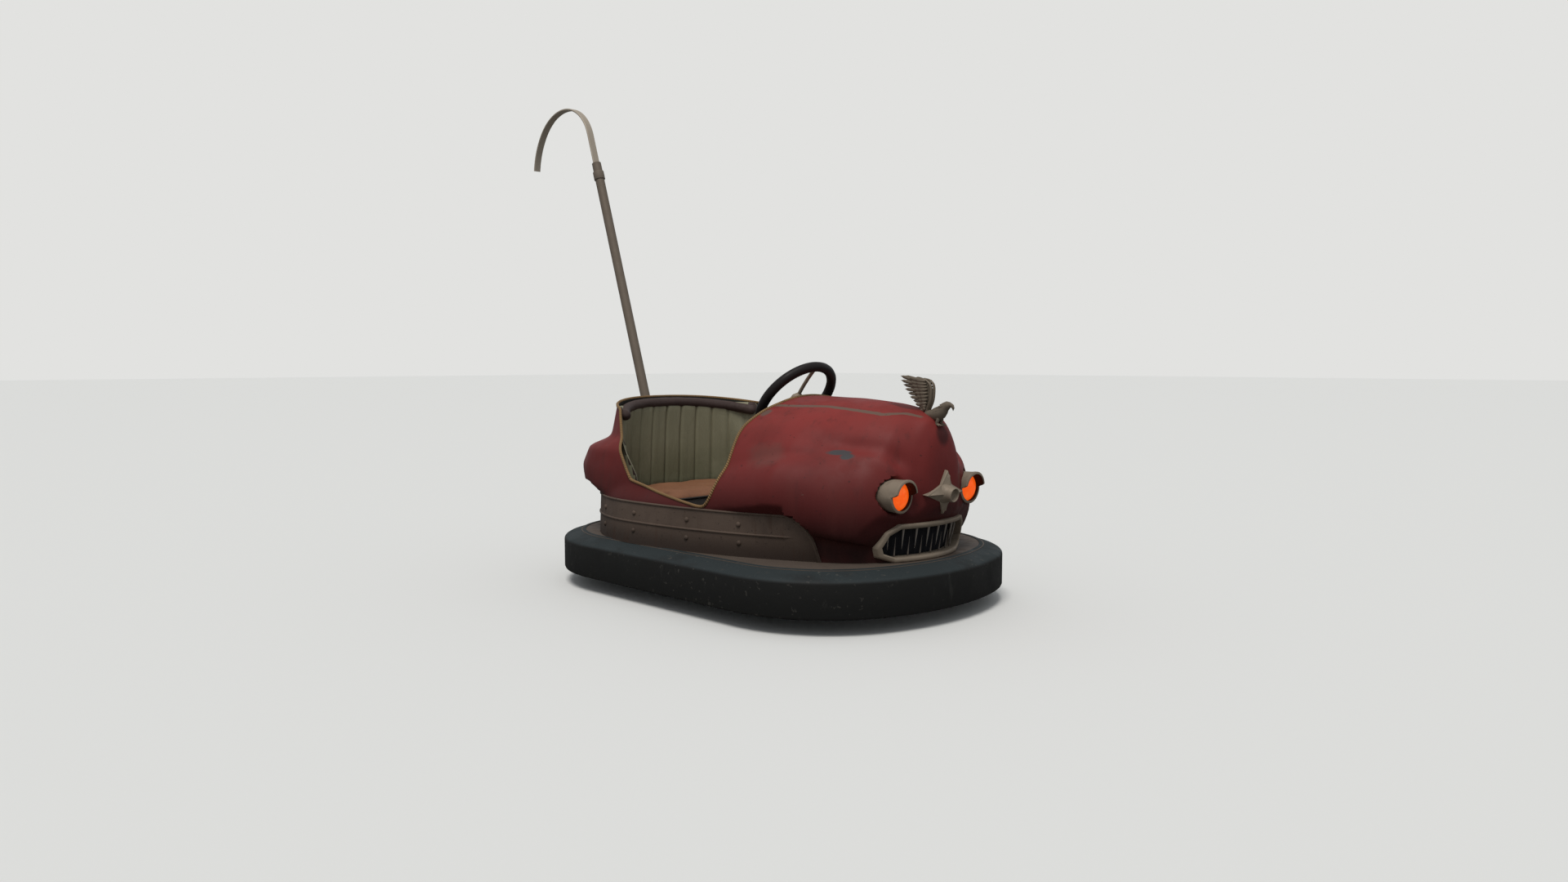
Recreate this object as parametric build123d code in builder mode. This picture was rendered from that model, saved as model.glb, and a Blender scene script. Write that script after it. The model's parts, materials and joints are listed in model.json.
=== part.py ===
from build123d import *
import os
from math import asin, cos, degrees, radians, sin, sqrt

os.makedirs("parts", exist_ok=True)

# A fairground bumper car with its current-collector pole, in millimetres.
# +X is forward, +Y is left, +Z is up. The origin is on the floor under the ring's centre.
# Lengths are set back from the ring's nose or tail, widths from its sides, heights from the deck.

# Fits and clearances
RUNNING_FIT = 0.05
SEAT_GAP = 0.3

# Rubber bumper ring, seen from above as a circle cut by two straight sides
RING_REACH = 950
RING_HALF_WIDTH = 650
RING_CORNER = 490
RING_WALL = 110
RING_BOTTOM = 60
RING_TOP = 215
RING_FOOT_ROUND = 10

# The ring's outside above its foot: height and how far it leans in, up to the deck's edge
RING_OUTSIDE = ((RING_BOTTOM, 0), (RING_TOP - 33, 0), (RING_TOP - 24, 3), (RING_TOP - 18, 10), (RING_TOP, 70))

# Steel hoop and deck
HOOP_WALL = 6
HOOP_INSET = RING_WALL + SEAT_GAP
HOOP_INNER = HOOP_INSET + HOOP_WALL
DECK_WALL = 4
DECK_MARGIN = 72
DECK = RING_TOP + DECK_WALL

# Wheels
REAR_WHEEL_X = 500 - RING_REACH
REAR_WHEEL_RADIUS = 100
REAR_WHEEL_WIDTH = 50
REAR_AXLE_RADIUS = 12
AXLE_COLLAR = 8
AXLE_STUB = 12
DRIVE_X = RING_REACH - 450
DRIVE_WHEEL_RADIUS = 125
DRIVE_WHEEL_WIDTH = 60
DRIVE_AXLE_RADIUS = 12
DRIVE_HOLE_RADIUS = 172
TYRE_DEPTH = 30
TYRE_ROUND = 6
WEB_SETBACK = 14
RIM_LIP = 4
RIM_BAND = 6
HUB_RADIUS = 26

# Chassis: rails, cross members and axle brackets
RAIL_SPREAD = 500
RAIL_SIZE = 40
RAIL_OUTER = (RAIL_SPREAD + RAIL_SIZE) / 2
RAIL_FOOT = RING_TOP - RAIL_SIZE
REAR_MEMBER_X = REAR_WHEEL_X - 170
SEAT_MEMBER_X = REAR_WHEEL_X + 200
DRIVE_MEMBER_X = DRIVE_X - DRIVE_HOLE_RADIUS - 38
LEG_MEMBER_X = SEAT_MEMBER_X + 0.593 * (DRIVE_MEMBER_X - SEAT_MEMBER_X)
CROSS_MEMBERS_X = (REAR_MEMBER_X, SEAT_MEMBER_X, LEG_MEMBER_X, DRIVE_MEMBER_X)
REAR_WHEEL_Y = (RAIL_OUTER + RING_HALF_WIDTH - HOOP_INNER) / 2
BRACKET_WALL = 8
BRACKET_LENGTH = 80
BRACKET_DROP = 30

# Body shell
BODY_WALL = 6
NOSE_CENTRE = RING_REACH - 535
NOSE_FACE = RING_REACH - 76
CHEEK_ANGLE = 67
CLEAR_TOP = DECK + 681
RIM_TAIL = (150 - RING_REACH, DECK + 566)
RIM_CORNER = (450 - RING_REACH, DECK + 519)
RIM_KINK = (659 - RING_REACH, DECK + 243)
RIM_LOW = (RING_REACH - 830, DECK + 175)
RIM_CURL = (RING_REACH - 785, DECK + 186)
RIM_KNEE = (RING_REACH - 759, DECK + 237)
RIM_CHEST = (RING_REACH - 750, DECK + 471)
RIM_CROWN = (RING_REACH - 736, DECK + 557)

# Mouth and teeth
MOUTH_WIDTH = 520
MOUTH_HEIGHT = 137
MOUTH_DROP = 5
MOUTH_FRAME = 20
MOUTH_PROUD = 12
MOUTH_DEPTH = 34
MOUTH_BACK_WALL = 3
TEETH = 8
TOOTH_MARGIN = 69
TOOTH_SETBACK = 14
TOOTH_POINT = 2
UPPER_TOOTH = 13
UPPER_TIP = DECK + 54
LOWER_TOOTH = 9
LOWER_TIP = DECK + 86

# Corners of the mouth on the left, from the top down: half width and height, which ends below the deck
MOUTH_CORNERS = tuple(
    (share * MOUTH_WIDTH / 2, DECK + up)
    for share, up in (
        (0.72, MOUTH_HEIGHT),
        (0.892, 0.8 * MOUTH_HEIGHT),
        (1, 0.41 * MOUTH_HEIGHT),
        (0.935, 0.11 * MOUTH_HEIGHT),
        (0.712, -MOUTH_DROP),
    )
)

# Lamps
LAMP_Y = 0.323 * RING_HALF_WIDTH
LAMP_Z = DECK + 239
LAMP_RADIUS = 61
LAMP_WALL = 5
LAMP_BACK_X = NOSE_FACE - 139
LAMP_FRONT_X = NOSE_FACE - 9
LAMP_BACK_ROUND = 20
LAMP_LIP = 8
LENS_DEPTH = 30
LENS_DOME = 26
LENS_MARGIN = 6
VISOR_REACH = NOSE_FACE + 44
VISOR_TAPER = 4

# Nose star with its boss
STAR_Z = LAMP_Z
STAR_RISE = 90
STAR_DROP = 73
STAR_REACH = 130
STAR_WAIST = 24
STAR_HEIGHT = 20
STAR_CROWN = 0.25
STAR_ROOT = 45
BOSS_FOOT = 40
BOSS_RADIUS = 27
BOSS_WALL = 7
BOSS_CONE = 26
BOSS_REACH = 50
BOSS_DISH = 14

# Skirt band with a raised edge and a middle bead
BAND_WALL = 5
BAND_TOP = DECK + 168
BAND_FRONT = RING_REACH - 310
BEAD_WIDTH = 9
BEAD_HEIGHT = 3.5
BEAD_Z = DECK + 86
BEAD_FRONT = RING_REACH - 450

# Drive unit and steering head
FORK_WALL = 8
FORK_GAP = 15
FORK_REACH = 40
FORK_TOP_GAP = 12
STEM_RADIUS = 20
MOTOR_RADIUS = 55
MOTOR_LENGTH = 90
MOTOR_RISE = 20
MOTOR_ROUND = 10
HEAD_RADIUS = 38
HEAD_BRIDGE_GAP = 15
HEAD_BRIDGE_WALL = 10
HEAD_BRIDGE_WIDTH = 80
BRIDGE_LEG_Y = 200
HEAD_BOX = 90
HEAD_BOX_HEIGHT = 96
STEM_GRIP = 15

# Steering wheel and column
WHEEL_X = RING_REACH - 825
WHEEL_Z = DECK + 566
WHEEL_TILT = 49
WHEEL_RADIUS = 181
WHEEL_RIM_RADIUS = 15
WHEEL_HUB_RADIUS = 30
WHEEL_HUB_RISE = 14
WHEEL_HUB_DEPTH = 34
SPOKE_WIDTH = 11
SPOKE_DEPTH = 5
SPOKE_TURNS = (90, 210, 330)
SHAFT_RADIUS = 10
COLUMN_WALL = 6
COLUMN_START = 120

# Bird on the bonnet
BIRD_X = RING_REACH - 120
BIRD_Z = DECK + 519
BIRD_ROOT = 60
WING_WALL = 5
WING_SPREAD = 0.22
WING_FEATHERS = 7

# Seat, dash and pedal
SEAT_FRONT_X = 750 - RING_REACH
SEAT_BASE_TOP = DECK + 86
SEAT_BASE_SETBACK = 8
CUSHION_DEPTH = 83
CUSHION_ROUND = 14
SEAT_BACK_DEPTH = 50
SEAT_BACK_FRONT = 650 - RING_REACH
SEAT_BACK_SETBACK = 14
ROLL_Z = DECK + 529
ROLL_DIP = 12
ROLL_RADIUS = 22
ROLL_REACH = RING_REACH - 234
ROLL_HALF = RING_HALF_WIDTH - 237
ROLL_CORNER = ROLL_HALF - 61
ROLL_END_X = 440 - RING_REACH
DASH_X = RING_REACH - 688
DASH_FOOT = DECK + 236
DASH_WALL = 4
PEDAL_X = RING_REACH - 760
PEDAL_Y = -90
PEDAL_WIDTH = 90

# Pole and hook
POLE_FOOT = (143 - RING_REACH, DECK + 381)
POLE_LEAN = 18.1
POLE_RADIUS = 22
POLE_WALL = 3
POLE_LENGTH = 1350
POLE_LIFT = 15
SOCKET_WALL = 8
SOCKET_HEIGHT = 90
SOCKET_DROP = 45
FLANGE_WIDTH = 22
FLANGE_HEIGHT = 12
HOOK_WIDTH = 36
HOOK_WALL = 9
HOOK_GRIP = 60
HOOK_SHANK = 150

# Where the hook's strip turns, back and up from its neck
HOOK_APEX = (-184, 147)
HOOK_SHOULDER = (-402, 55)
HOOK_END = (-474, -121)

# Tub, from the deck up: height, tail setback, side inset, corner centre, nose setback
TUB_LEVELS = tuple(
    (DECK + high, RING_REACH - tail, RING_HALF_WIDTH - side, RING_HALF_WIDTH - side - middle, RING_REACH - nose)
    for high, tail, side, middle, nose in (
        (0, 150, 75, 25, 135),
        (168, 150, 88, 24, 106),
        (261, 175, 150, 20, 80),
    )
)

# Tail bulge, seat shell and the room for the seat back: height, tail setback, side inset, corner centre
TAIL_LEVELS, SEAT_LEVELS, SEAT_BACK_LEVELS = (
    tuple(
        (DECK + high, RING_REACH - tail, RING_HALF_WIDTH - side, RING_HALF_WIDTH - side - middle)
        for high, tail, side, middle in table
    )
    for table in (
        (
            (153, 158, 110, 20),
            (192, 65, 121, 129),
            (274, 45, 130, 145),
            (354, 80, 145, 130),
            (393, 175, 175, 75),
        ),
        (
            (181, 160, 160, 70),
            (381, 178, 180, 70),
            (581, 212, 218, 57),
        ),
        (
            (86 + SEAT_GAP, 184, 184, 66),
            (541, 214, 217, 57),
        ),
    )
)

# Bonnet: setback from the ring's nose, half width, shoulder, ridge half width, ridge height, crown.
# Widths are shares of the ring's half width, heights are above the deck.
BONNET_STATIONS = tuple(
    (RING_REACH - setback, RING_HALF_WIDTH * wide, DECK + low, RING_HALF_WIDTH * ridge, DECK + high, DECK + top)
    for setback, wide, low, ridge, high, top in (
        (850, 0.738, 301, 0.331, 547, 581),
        (500, 0.64, 301, 0.254, 547, 576),
        (290, 0.4615, 281, 0.177, 536, 561),
        (190, 0.369, 271, 0.131, 526, 544),
        (120, 0.215, 251, 0.092, 496, 516),
        (85, 0.146, 231, 0.069, 441, 461),
        (76, 0.108, 211, 0.054, 341, 356),
    )
)

# Fender: setback, foot half width, foot height, outer half width, crest half width, crest height
FENDER_STATIONS = tuple(
    (
        RING_REACH - setback,
        RING_HALF_WIDTH * foot,
        DECK + low,
        RING_HALF_WIDTH * outer,
        RING_HALF_WIDTH * crest,
        DECK + top,
    )
    for setback, foot, low, outer, crest, top in (
        (850, 0.815, 126, 0.812, 0.523, 343),
        (500, 0.705, 126, 0.757, 0.52, 387),
        (290, 0.585, 91, 0.615, 0.431, 385),
        (200, 0.4615, 71, 0.5, 0.346, 372),
        (150, 0.385, 101, 0.4, 0.308, 345),
        (115, 0.2615, 131, 0.292, 0.231, 315),
    )
)
FENDER_WAIST = DECK + 211
FENDER_SHOULDER = 40
FENDER_INNER = 0.19 * RING_HALF_WIDTH
BONNET_FOOT = DECK + 160
BONNET_BULGE = 0.12
FRONT_START = RING_REACH - 850
TAIL_START = 990 - RING_REACH
SEAT_START = 870 - RING_REACH
WALL_RUN_OUT = 2


def corner_points(reach, half, corner):
    """Centre of a rounded corner on the right, and where it meets the end circle."""
    centre_x = sqrt((reach - corner) ** 2 - (half - corner) ** 2)
    centre_y = half - corner
    grow = reach / (reach - corner)
    return centre_x, centre_x * grow, centre_y * grow


def oval(reach, half, corner):
    """Plan outline of the ring family: end circles, straight sides and round corners."""
    with BuildSketch() as outline:
        Circle(reach)
        Rectangle(4 * reach, 2 * half, mode=Mode.INTERSECT)
        fillet(outline.vertices(), corner)
    return outline.sketch


def tail_outline(front_x, reach, half, corner):
    """Plan outline that is square at front_x and round at the tail."""
    start_x, meet_x, meet_y = corner_points(reach, half, corner)
    with BuildSketch() as outline:
        with BuildLine():
            Line((front_x, -half), (-start_x, -half))
            TangentArc((-start_x, -half), (-meet_x, -meet_y), tangent=(-1, 0))
            ThreePointArc((-meet_x, -meet_y), (-reach, 0), (-meet_x, meet_y))
            TangentArc((-start_x, half), (-meet_x, meet_y), tangent=(-1, 0))
            Line((-start_x, half), (front_x, half))
            Line((front_x, half), (front_x, -half))
        make_face()
    return outline.sketch


def body_outline(reach, half, corner, nose):
    """Plan outline of the whole body: round tail, gently curved sides and round nose."""
    start_x, meet_x, meet_y = corner_points(reach, half, corner)
    nose_radius = nose - NOSE_CENTRE
    cheek_x = NOSE_CENTRE + nose_radius * cos(radians(CHEEK_ANGLE))
    cheek_y = nose_radius * sin(radians(CHEEK_ANGLE))
    with BuildSketch() as outline:
        with BuildLine():
            ThreePointArc((cheek_x, -cheek_y), (nose, 0), (cheek_x, cheek_y))
            TangentArc((-start_x, half), (cheek_x, cheek_y), tangent=(1, 0))
            TangentArc((-start_x, half), (-meet_x, meet_y), tangent=(-1, 0))
            ThreePointArc((-meet_x, meet_y), (-reach, 0), (-meet_x, -meet_y))
            TangentArc((-start_x, -half), (-meet_x, -meet_y), tangent=(-1, 0))
            TangentArc((-start_x, -half), (cheek_x, -cheek_y), tangent=(1, 0))
        make_face()
    return outline.sketch


def bonnet_section(foot, wide, shoulder, ridge, ridge_top, crown):
    """Cross-section of the bonnet: upright foot, bulged sides, ridges and a crowned top."""
    middle = (
        (wide + ridge) / 2 + BONNET_BULGE * (ridge_top - shoulder),
        (shoulder + ridge_top) / 2 + BONNET_BULGE * (wide - ridge),
    )
    with BuildSketch() as outline:
        with BuildLine():
            Line((-wide, foot), (wide, foot))
            Line((wide, foot), (wide, shoulder))
            ThreePointArc((wide, shoulder), middle, (ridge, ridge_top))
            ThreePointArc((ridge, ridge_top), (0, crown), (-ridge, ridge_top))
            ThreePointArc((-ridge, ridge_top), (-middle[0], middle[1]), (-wide, shoulder))
            Line((-wide, shoulder), (-wide, foot))
        make_face()
    return outline.sketch


def fender_section(side, foot_y, foot_z, outer, crest_y, crest_z):
    """Cross-section of one fender: a round outside, a crest and a hidden inside."""
    inner_top = crest_z - FENDER_SHOULDER
    with BuildSketch() as outline:
        with BuildLine():
            Line((side * FENDER_INNER, foot_z), (side * foot_y, foot_z))
            ThreePointArc(
                (side * foot_y, foot_z),
                (side * outer, FENDER_WAIST),
                (side * crest_y, crest_z),
            )
            Line((side * crest_y, crest_z), (side * FENDER_INNER, inner_top))
            Line((side * FENDER_INNER, inner_top), (side * FENDER_INNER, foot_z))
        make_face()
    return outline.sketch


def body_form(inset, skip=0):
    """The body's outside as one solid, every surface moved inwards by inset."""
    with BuildPart() as form:
        for level, reach, half, corner, nose in TUB_LEVELS:
            drop = skip if level == DECK else 0
            with BuildSketch(Plane.XY.offset(level - drop)):
                add(body_outline(reach - inset, half - inset, corner - inset, nose - inset))
        loft(ruled=True)
        for level, reach, half, corner in TAIL_LEVELS:
            with BuildSketch(Plane.XY.offset(level)):
                add(tail_outline(TAIL_START, reach - inset, half - inset, corner - inset))
        loft(ruled=True)
        for level, reach, half, corner in SEAT_LEVELS:
            with BuildSketch(Plane.XY.offset(level)):
                add(tail_outline(SEAT_START, reach - inset, half - inset, corner - inset))
        loft(ruled=True)
        for station, wide, shoulder, ridge, ridge_top, crown in BONNET_STATIONS:
            place = station - (skip if station == FRONT_START else inset)
            with BuildSketch(Plane.YZ.offset(place)):
                add(
                    bonnet_section(
                        BONNET_FOOT + inset, wide - inset, shoulder, ridge, ridge_top - inset, crown - inset
                    )
                )
        loft(ruled=True)
        for side in (-1, 1):
            for station, foot_y, foot_z, outer, crest_y, crest_z in FENDER_STATIONS:
                place = station - (skip if station == FRONT_START else inset)
                with BuildSketch(Plane.YZ.offset(place)):
                    add(
                        fender_section(
                            side, foot_y - inset, foot_z + inset, outer - inset, crest_y, crest_z - inset
                        )
                    )
            loft(ruled=True)
    return form.part


def cockpit_profile(back):
    """Side view of everything above the cockpit's rim, its rear line moved back by back."""
    tail, corner, kink = ((x - back, z) for x, z in (RIM_TAIL, RIM_CORNER, RIM_KINK))
    with BuildSketch(Plane.XZ) as profile:
        with BuildLine():
            Polyline(tail, corner, kink, RIM_LOW)
            ThreePointArc(RIM_LOW, RIM_CURL, RIM_KNEE)
            Polyline(RIM_KNEE, RIM_CHEST, RIM_CROWN, (RIM_CROWN[0], CLEAR_TOP), (tail[0], CLEAR_TOP), tail)
        make_face()
    return profile.sketch


def mouth_outline(grow=0):
    """Front view of the mouth, an eight-cornered opening, moved outwards by grow."""
    with BuildSketch() as outline:
        with BuildLine():
            Polyline(*MOUTH_CORNERS, *((-across, level) for across, level in MOUTH_CORNERS[::-1]), close=True)
        make_face()
        if grow:
            offset(amount=grow, kind=Kind.INTERSECTION, mode=Mode.REPLACE)
    return outline.sketch


body_outer = body_form(0)
body_inner = body_form(BODY_WALL, skip=WALL_RUN_OUT)
body_clear = body_form(-SEAT_GAP)
body_lining = body_form(BODY_WALL + SEAT_GAP)

# Bumper ring
with BuildPart() as bumper_ring:
    for level, lean in RING_OUTSIDE:
        with BuildSketch(Plane.XY.offset(level)):
            add(oval(RING_REACH - lean, RING_HALF_WIDTH - lean, RING_CORNER - lean))
    loft(ruled=True)
    fillet(bumper_ring.edges().group_by(Axis.Z)[0], RING_FOOT_ROUND)
    with BuildSketch(Plane.XY.offset(RING_BOTTOM)):
        add(oval(RING_REACH - RING_WALL, RING_HALF_WIDTH - RING_WALL, RING_CORNER - RING_WALL))
    extrude(amount=RING_TOP - RING_BOTTOM, mode=Mode.SUBTRACT)

# Steel hoop inside the ring
with BuildPart() as bumper_hoop:
    with BuildSketch(Plane.XY.offset(RING_BOTTOM + RING_FOOT_ROUND)):
        add(oval(RING_REACH - HOOP_INSET, RING_HALF_WIDTH - HOOP_INSET, RING_CORNER - HOOP_INSET))
        add(
            oval(RING_REACH - HOOP_INNER, RING_HALF_WIDTH - HOOP_INNER, RING_CORNER - HOOP_INNER),
            mode=Mode.SUBTRACT,
        )
    extrude(amount=RING_TOP - RING_BOTTOM - RING_FOOT_ROUND)

# Chassis: two long rails, cross members fitted between them and the hoop, and two axle brackets
with BuildPart() as chassis_rails:
    with BuildSketch(Plane.XY.offset(RAIL_FOOT)):
        for side in (-1, 1):
            with Locations((0, side * RAIL_SPREAD / 2)):
                Rectangle(2 * RING_REACH, RAIL_SIZE)
        add(
            oval(RING_REACH - HOOP_INNER, RING_HALF_WIDTH - HOOP_INNER, RING_CORNER - HOOP_INNER),
            mode=Mode.INTERSECT,
        )
    extrude(amount=RAIL_SIZE)

with BuildPart() as cross_members:
    with BuildSketch(Plane.XY.offset(RAIL_FOOT)):
        for place in CROSS_MEMBERS_X:
            with Locations((place, 0)):
                Rectangle(RAIL_SIZE, 2 * RING_HALF_WIDTH)
        add(
            oval(RING_REACH - HOOP_INNER, RING_HALF_WIDTH - HOOP_INNER, RING_CORNER - HOOP_INNER),
            mode=Mode.INTERSECT,
        )
        for side in (-1, 1):
            with Locations((0, side * RAIL_SPREAD / 2)):
                Rectangle(2 * RING_REACH, RAIL_SIZE, mode=Mode.SUBTRACT)
    extrude(amount=RAIL_SIZE)

BRACKET_FOOT = REAR_WHEEL_RADIUS - BRACKET_DROP
with BuildPart() as axle_brackets:
    for side in (-1, 1):
        with BuildSketch(Plane.XZ.offset(-side * RAIL_SPREAD / 2 - BRACKET_WALL / 2)):
            with Locations((REAR_WHEEL_X, (RAIL_FOOT + BRACKET_FOOT) / 2)):
                Rectangle(BRACKET_LENGTH, RAIL_FOOT - BRACKET_FOOT)
            with Locations((REAR_WHEEL_X, REAR_WHEEL_RADIUS)):
                Circle(REAR_AXLE_RADIUS + RUNNING_FIT, mode=Mode.SUBTRACT)
        extrude(amount=BRACKET_WALL)

# Deck plate on the hoop, the rails and the ring's inner edge
with BuildPart() as deck_plate:
    with BuildSketch(Plane.XY.offset(RING_TOP)):
        add(oval(RING_REACH - DECK_MARGIN, RING_HALF_WIDTH - DECK_MARGIN, RING_CORNER - DECK_MARGIN))
        with Locations((DRIVE_X, 0)):
            Circle(DRIVE_HOLE_RADIUS, mode=Mode.SUBTRACT)
    extrude(amount=DECK_WALL)

# Body shell: hollow, open below and at the cockpit, with the mouth and lamp holes cut
with BuildPart() as body_shell:
    add(body_outer)
    add(body_inner, mode=Mode.SUBTRACT)
    with BuildSketch(Plane.XZ):
        add(cockpit_profile(0))
    extrude(amount=RING_HALF_WIDTH, both=True, mode=Mode.SUBTRACT)
    with BuildSketch(Plane.YZ.offset(NOSE_CENTRE)):
        add(mouth_outline(SEAT_GAP))
    extrude(amount=RING_REACH - NOSE_CENTRE, mode=Mode.SUBTRACT)
    for side in (-1, 1):
        with BuildSketch(Plane.YZ.offset(LAMP_BACK_X)):
            with Locations((side * LAMP_Y, LAMP_Z)):
                Circle(LAMP_RADIUS + SEAT_GAP)
        extrude(amount=RING_REACH - LAMP_BACK_X, mode=Mode.SUBTRACT)

# Skirt band round the foot, open at the nose, with a raised edge and a bead half way up
BAND_LEVELS = TUB_LEVELS[:2]

# Height and setback of the band's end at the nose
BAND_NOSE = (
    (DECK, 0), (DECK + 70, 12), (DECK + 115, 28), (DECK + 150, 55), (DECK + 163, 75), (BAND_TOP, 100)
)


def skirt_slice(inset):
    """The foot of the tub up to the band's top, moved inwards by inset."""
    with BuildPart() as piece:
        for level, reach, half, corner, nose in BAND_LEVELS:
            with BuildSketch(Plane.XY.offset(level)):
                add(body_outline(reach - inset, half - inset, corner - inset, nose - inset))
        loft(ruled=True)
    return piece.part


def band_side(edge):
    """Side view of the band, its top and nose end moved inwards by edge."""
    with BuildSketch(Plane.XZ) as side_view:
        with BuildLine():
            Polyline(
                (-RING_REACH, DECK),
                *((BAND_FRONT - setback - edge, max(level - edge, DECK)) for level, setback in BAND_NOSE),
                (-RING_REACH, BAND_TOP - edge),
                close=True,
            )
        make_face()
    return side_view.sketch


band_outer = skirt_slice(-BAND_WALL - SEAT_GAP)
bead_outer = skirt_slice(-BAND_WALL - SEAT_GAP - BEAD_HEIGHT)
with BuildPart() as bead_strips:
    with BuildSketch(Plane.XZ):
        add(band_side(0))
        add(band_side(BEAD_WIDTH), mode=Mode.SUBTRACT)
        with Locations((BEAD_FRONT, BEAD_Z)):
            Rectangle(RING_REACH + BEAD_FRONT, BEAD_WIDTH, align=(Align.MAX, Align.CENTER))
    extrude(amount=RING_HALF_WIDTH, both=True)
    add(bead_outer, mode=Mode.INTERSECT)
with BuildPart() as skirt_band:
    add(band_outer)
    with BuildSketch(Plane.XZ):
        add(band_side(0))
    extrude(amount=RING_HALF_WIDTH, both=True, mode=Mode.INTERSECT)
    add(bead_strips.part)
    add(body_clear, mode=Mode.SUBTRACT)

# Grille: a frame that leans with the nose, a dark back and two rows of teeth


def nose_radius(level):
    """Radius of the tub's nose about its centre, at a height below the band's top."""
    low, foot, high, top = DECK, TUB_LEVELS[0][4], TUB_LEVELS[1][0], TUB_LEVELS[1][4]
    return foot + (level - low) / (high - low) * (top - foot) - NOSE_CENTRE


def nose_slab(inner, outer, low, high):
    """A curved slab that leans with the nose, between two distances in front of its surface."""
    with BuildPart() as slab:
        for forward, way in ((outer, Mode.ADD), (inner, Mode.SUBTRACT)):
            for level in (low, high):
                radius = nose_radius(level) + forward
                with BuildSketch(Plane.XY.offset(level)):
                    with Locations((NOSE_CENTRE, 0)):
                        Circle(radius)
                        with Locations((-radius, 0)):
                            Rectangle(2 * radius, 4 * radius, mode=Mode.SUBTRACT)
            loft(ruled=True, mode=way)
    return slab.part


MOUTH_TOP = DECK + MOUTH_HEIGHT
frame_slab = nose_slab(-MOUTH_DEPTH, MOUTH_PROUD, DECK + SEAT_GAP, MOUTH_TOP + 1)
with BuildPart() as grille_frame:
    add(frame_slab)
    with BuildSketch(Plane.YZ.offset(NOSE_CENTRE)):
        add(mouth_outline())
        add(mouth_outline(-MOUTH_FRAME), mode=Mode.SUBTRACT)
    extrude(amount=RING_REACH, mode=Mode.INTERSECT)

back_slab = nose_slab(-MOUTH_DEPTH - MOUTH_BACK_WALL, -MOUTH_DEPTH, DECK + SEAT_GAP, MOUTH_TOP)
with BuildPart() as grille_back:
    add(back_slab)
    with BuildSketch(Plane.YZ.offset(NOSE_CENTRE)):
        add(mouth_outline(-MOUTH_FRAME / 2))
    extrude(amount=RING_REACH, mode=Mode.INTERSECT)

TOOTH_CIRCLE = nose_radius(DECK + MOUTH_HEIGHT / 2) - TOOTH_SETBACK
TOOTH_SPREAD = degrees(asin((MOUTH_WIDTH / 2 - TOOTH_MARGIN) / TOOTH_CIRCLE))
TOOTH_PITCH = 2 * TOOTH_SPREAD / (TEETH - 1)


def teeth(count, root_z, tip_z, wide):
    """A row of square spikes round the nose, from root_z to tip_z."""
    with BuildPart() as row:
        for index in range(count):
            angle = radians((index - (count - 1) / 2) * TOOTH_PITCH)
            for level, size in ((root_z, wide), (tip_z, TOOTH_POINT)):
                circle = nose_radius(level) - TOOTH_SETBACK
                with BuildSketch(Plane.XY.offset(level)):
                    with Locations((NOSE_CENTRE + circle * cos(angle), circle * sin(angle))):
                        Rectangle(size, size)
            loft(ruled=True)
    return row.part


upper_spikes = teeth(TEETH, MOUTH_TOP - MOUTH_FRAME / 2, UPPER_TIP, UPPER_TOOTH)
lower_spikes = teeth(TEETH - 1, DECK + MOUTH_FRAME / 2 - MOUTH_DROP, LOWER_TIP, LOWER_TOOTH)
frame_part = grille_frame.part
with BuildPart() as grille_teeth_upper:
    add(upper_spikes)
    add(frame_part, mode=Mode.SUBTRACT)
with BuildPart() as grille_teeth_lower:
    add(lower_spikes)
    add(frame_part, mode=Mode.SUBTRACT)


LENS_SEAT = LAMP_FRONT_X - LENS_DEPTH


def lamp(side):
    """A bullet lamp housing: round barrel, open front and a hood over the upper half."""
    with BuildPart() as housing:
        with BuildSketch(Plane.XZ):
            with BuildLine():
                Polyline(
                    (LAMP_BACK_X, 0),
                    (LAMP_BACK_X, LAMP_RADIUS - LAMP_BACK_ROUND),
                    (LAMP_BACK_X + LAMP_BACK_ROUND, LAMP_RADIUS - LAMP_LIP),
                    (LAMP_BACK_X + 3 * LAMP_BACK_ROUND, LAMP_RADIUS),
                    (LENS_SEAT, LAMP_RADIUS),
                    (LAMP_FRONT_X, LAMP_RADIUS - LAMP_LIP),
                    (VISOR_REACH, LAMP_RADIUS - LAMP_LIP - VISOR_TAPER),
                    (VISOR_REACH, LAMP_RADIUS - LAMP_LIP - VISOR_TAPER - LAMP_WALL),
                    (LENS_SEAT, LAMP_RADIUS - LAMP_LIP - LAMP_WALL),
                    (LENS_SEAT, 0),
                    close=True,
                )
            make_face()
        revolve(axis=Axis.X)
        with BuildSketch(Plane.XZ):
            with Locations((LAMP_FRONT_X, LAMP_WALL)):
                Rectangle(2 * LAMP_RADIUS, 2 * LAMP_RADIUS, align=(Align.MIN, Align.MAX))
        extrude(amount=2 * LAMP_RADIUS, both=True, mode=Mode.SUBTRACT)
    return Pos(0, side * LAMP_Y, LAMP_Z) * housing.part


def lens(side):
    """A domed lens that sits inside the lamp's mouth."""
    seat = LENS_SEAT + SEAT_GAP
    reach = LAMP_RADIUS - LAMP_LIP - LAMP_WALL - LENS_MARGIN
    dome_radius = (reach**2 + LENS_DOME**2) / (2 * LENS_DOME)
    with BuildPart() as glass:
        with BuildSketch(Plane.XZ):
            with BuildLine():
                Line((seat, 0), (seat, reach))
                RadiusArc((seat, reach), (seat + LENS_DOME, 0), dome_radius)
                Line((seat + LENS_DOME, 0), (seat, 0))
            make_face()
        revolve(axis=Axis.X)
    return Pos(0, side * LAMP_Y, LAMP_Z) * glass.part


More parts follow.
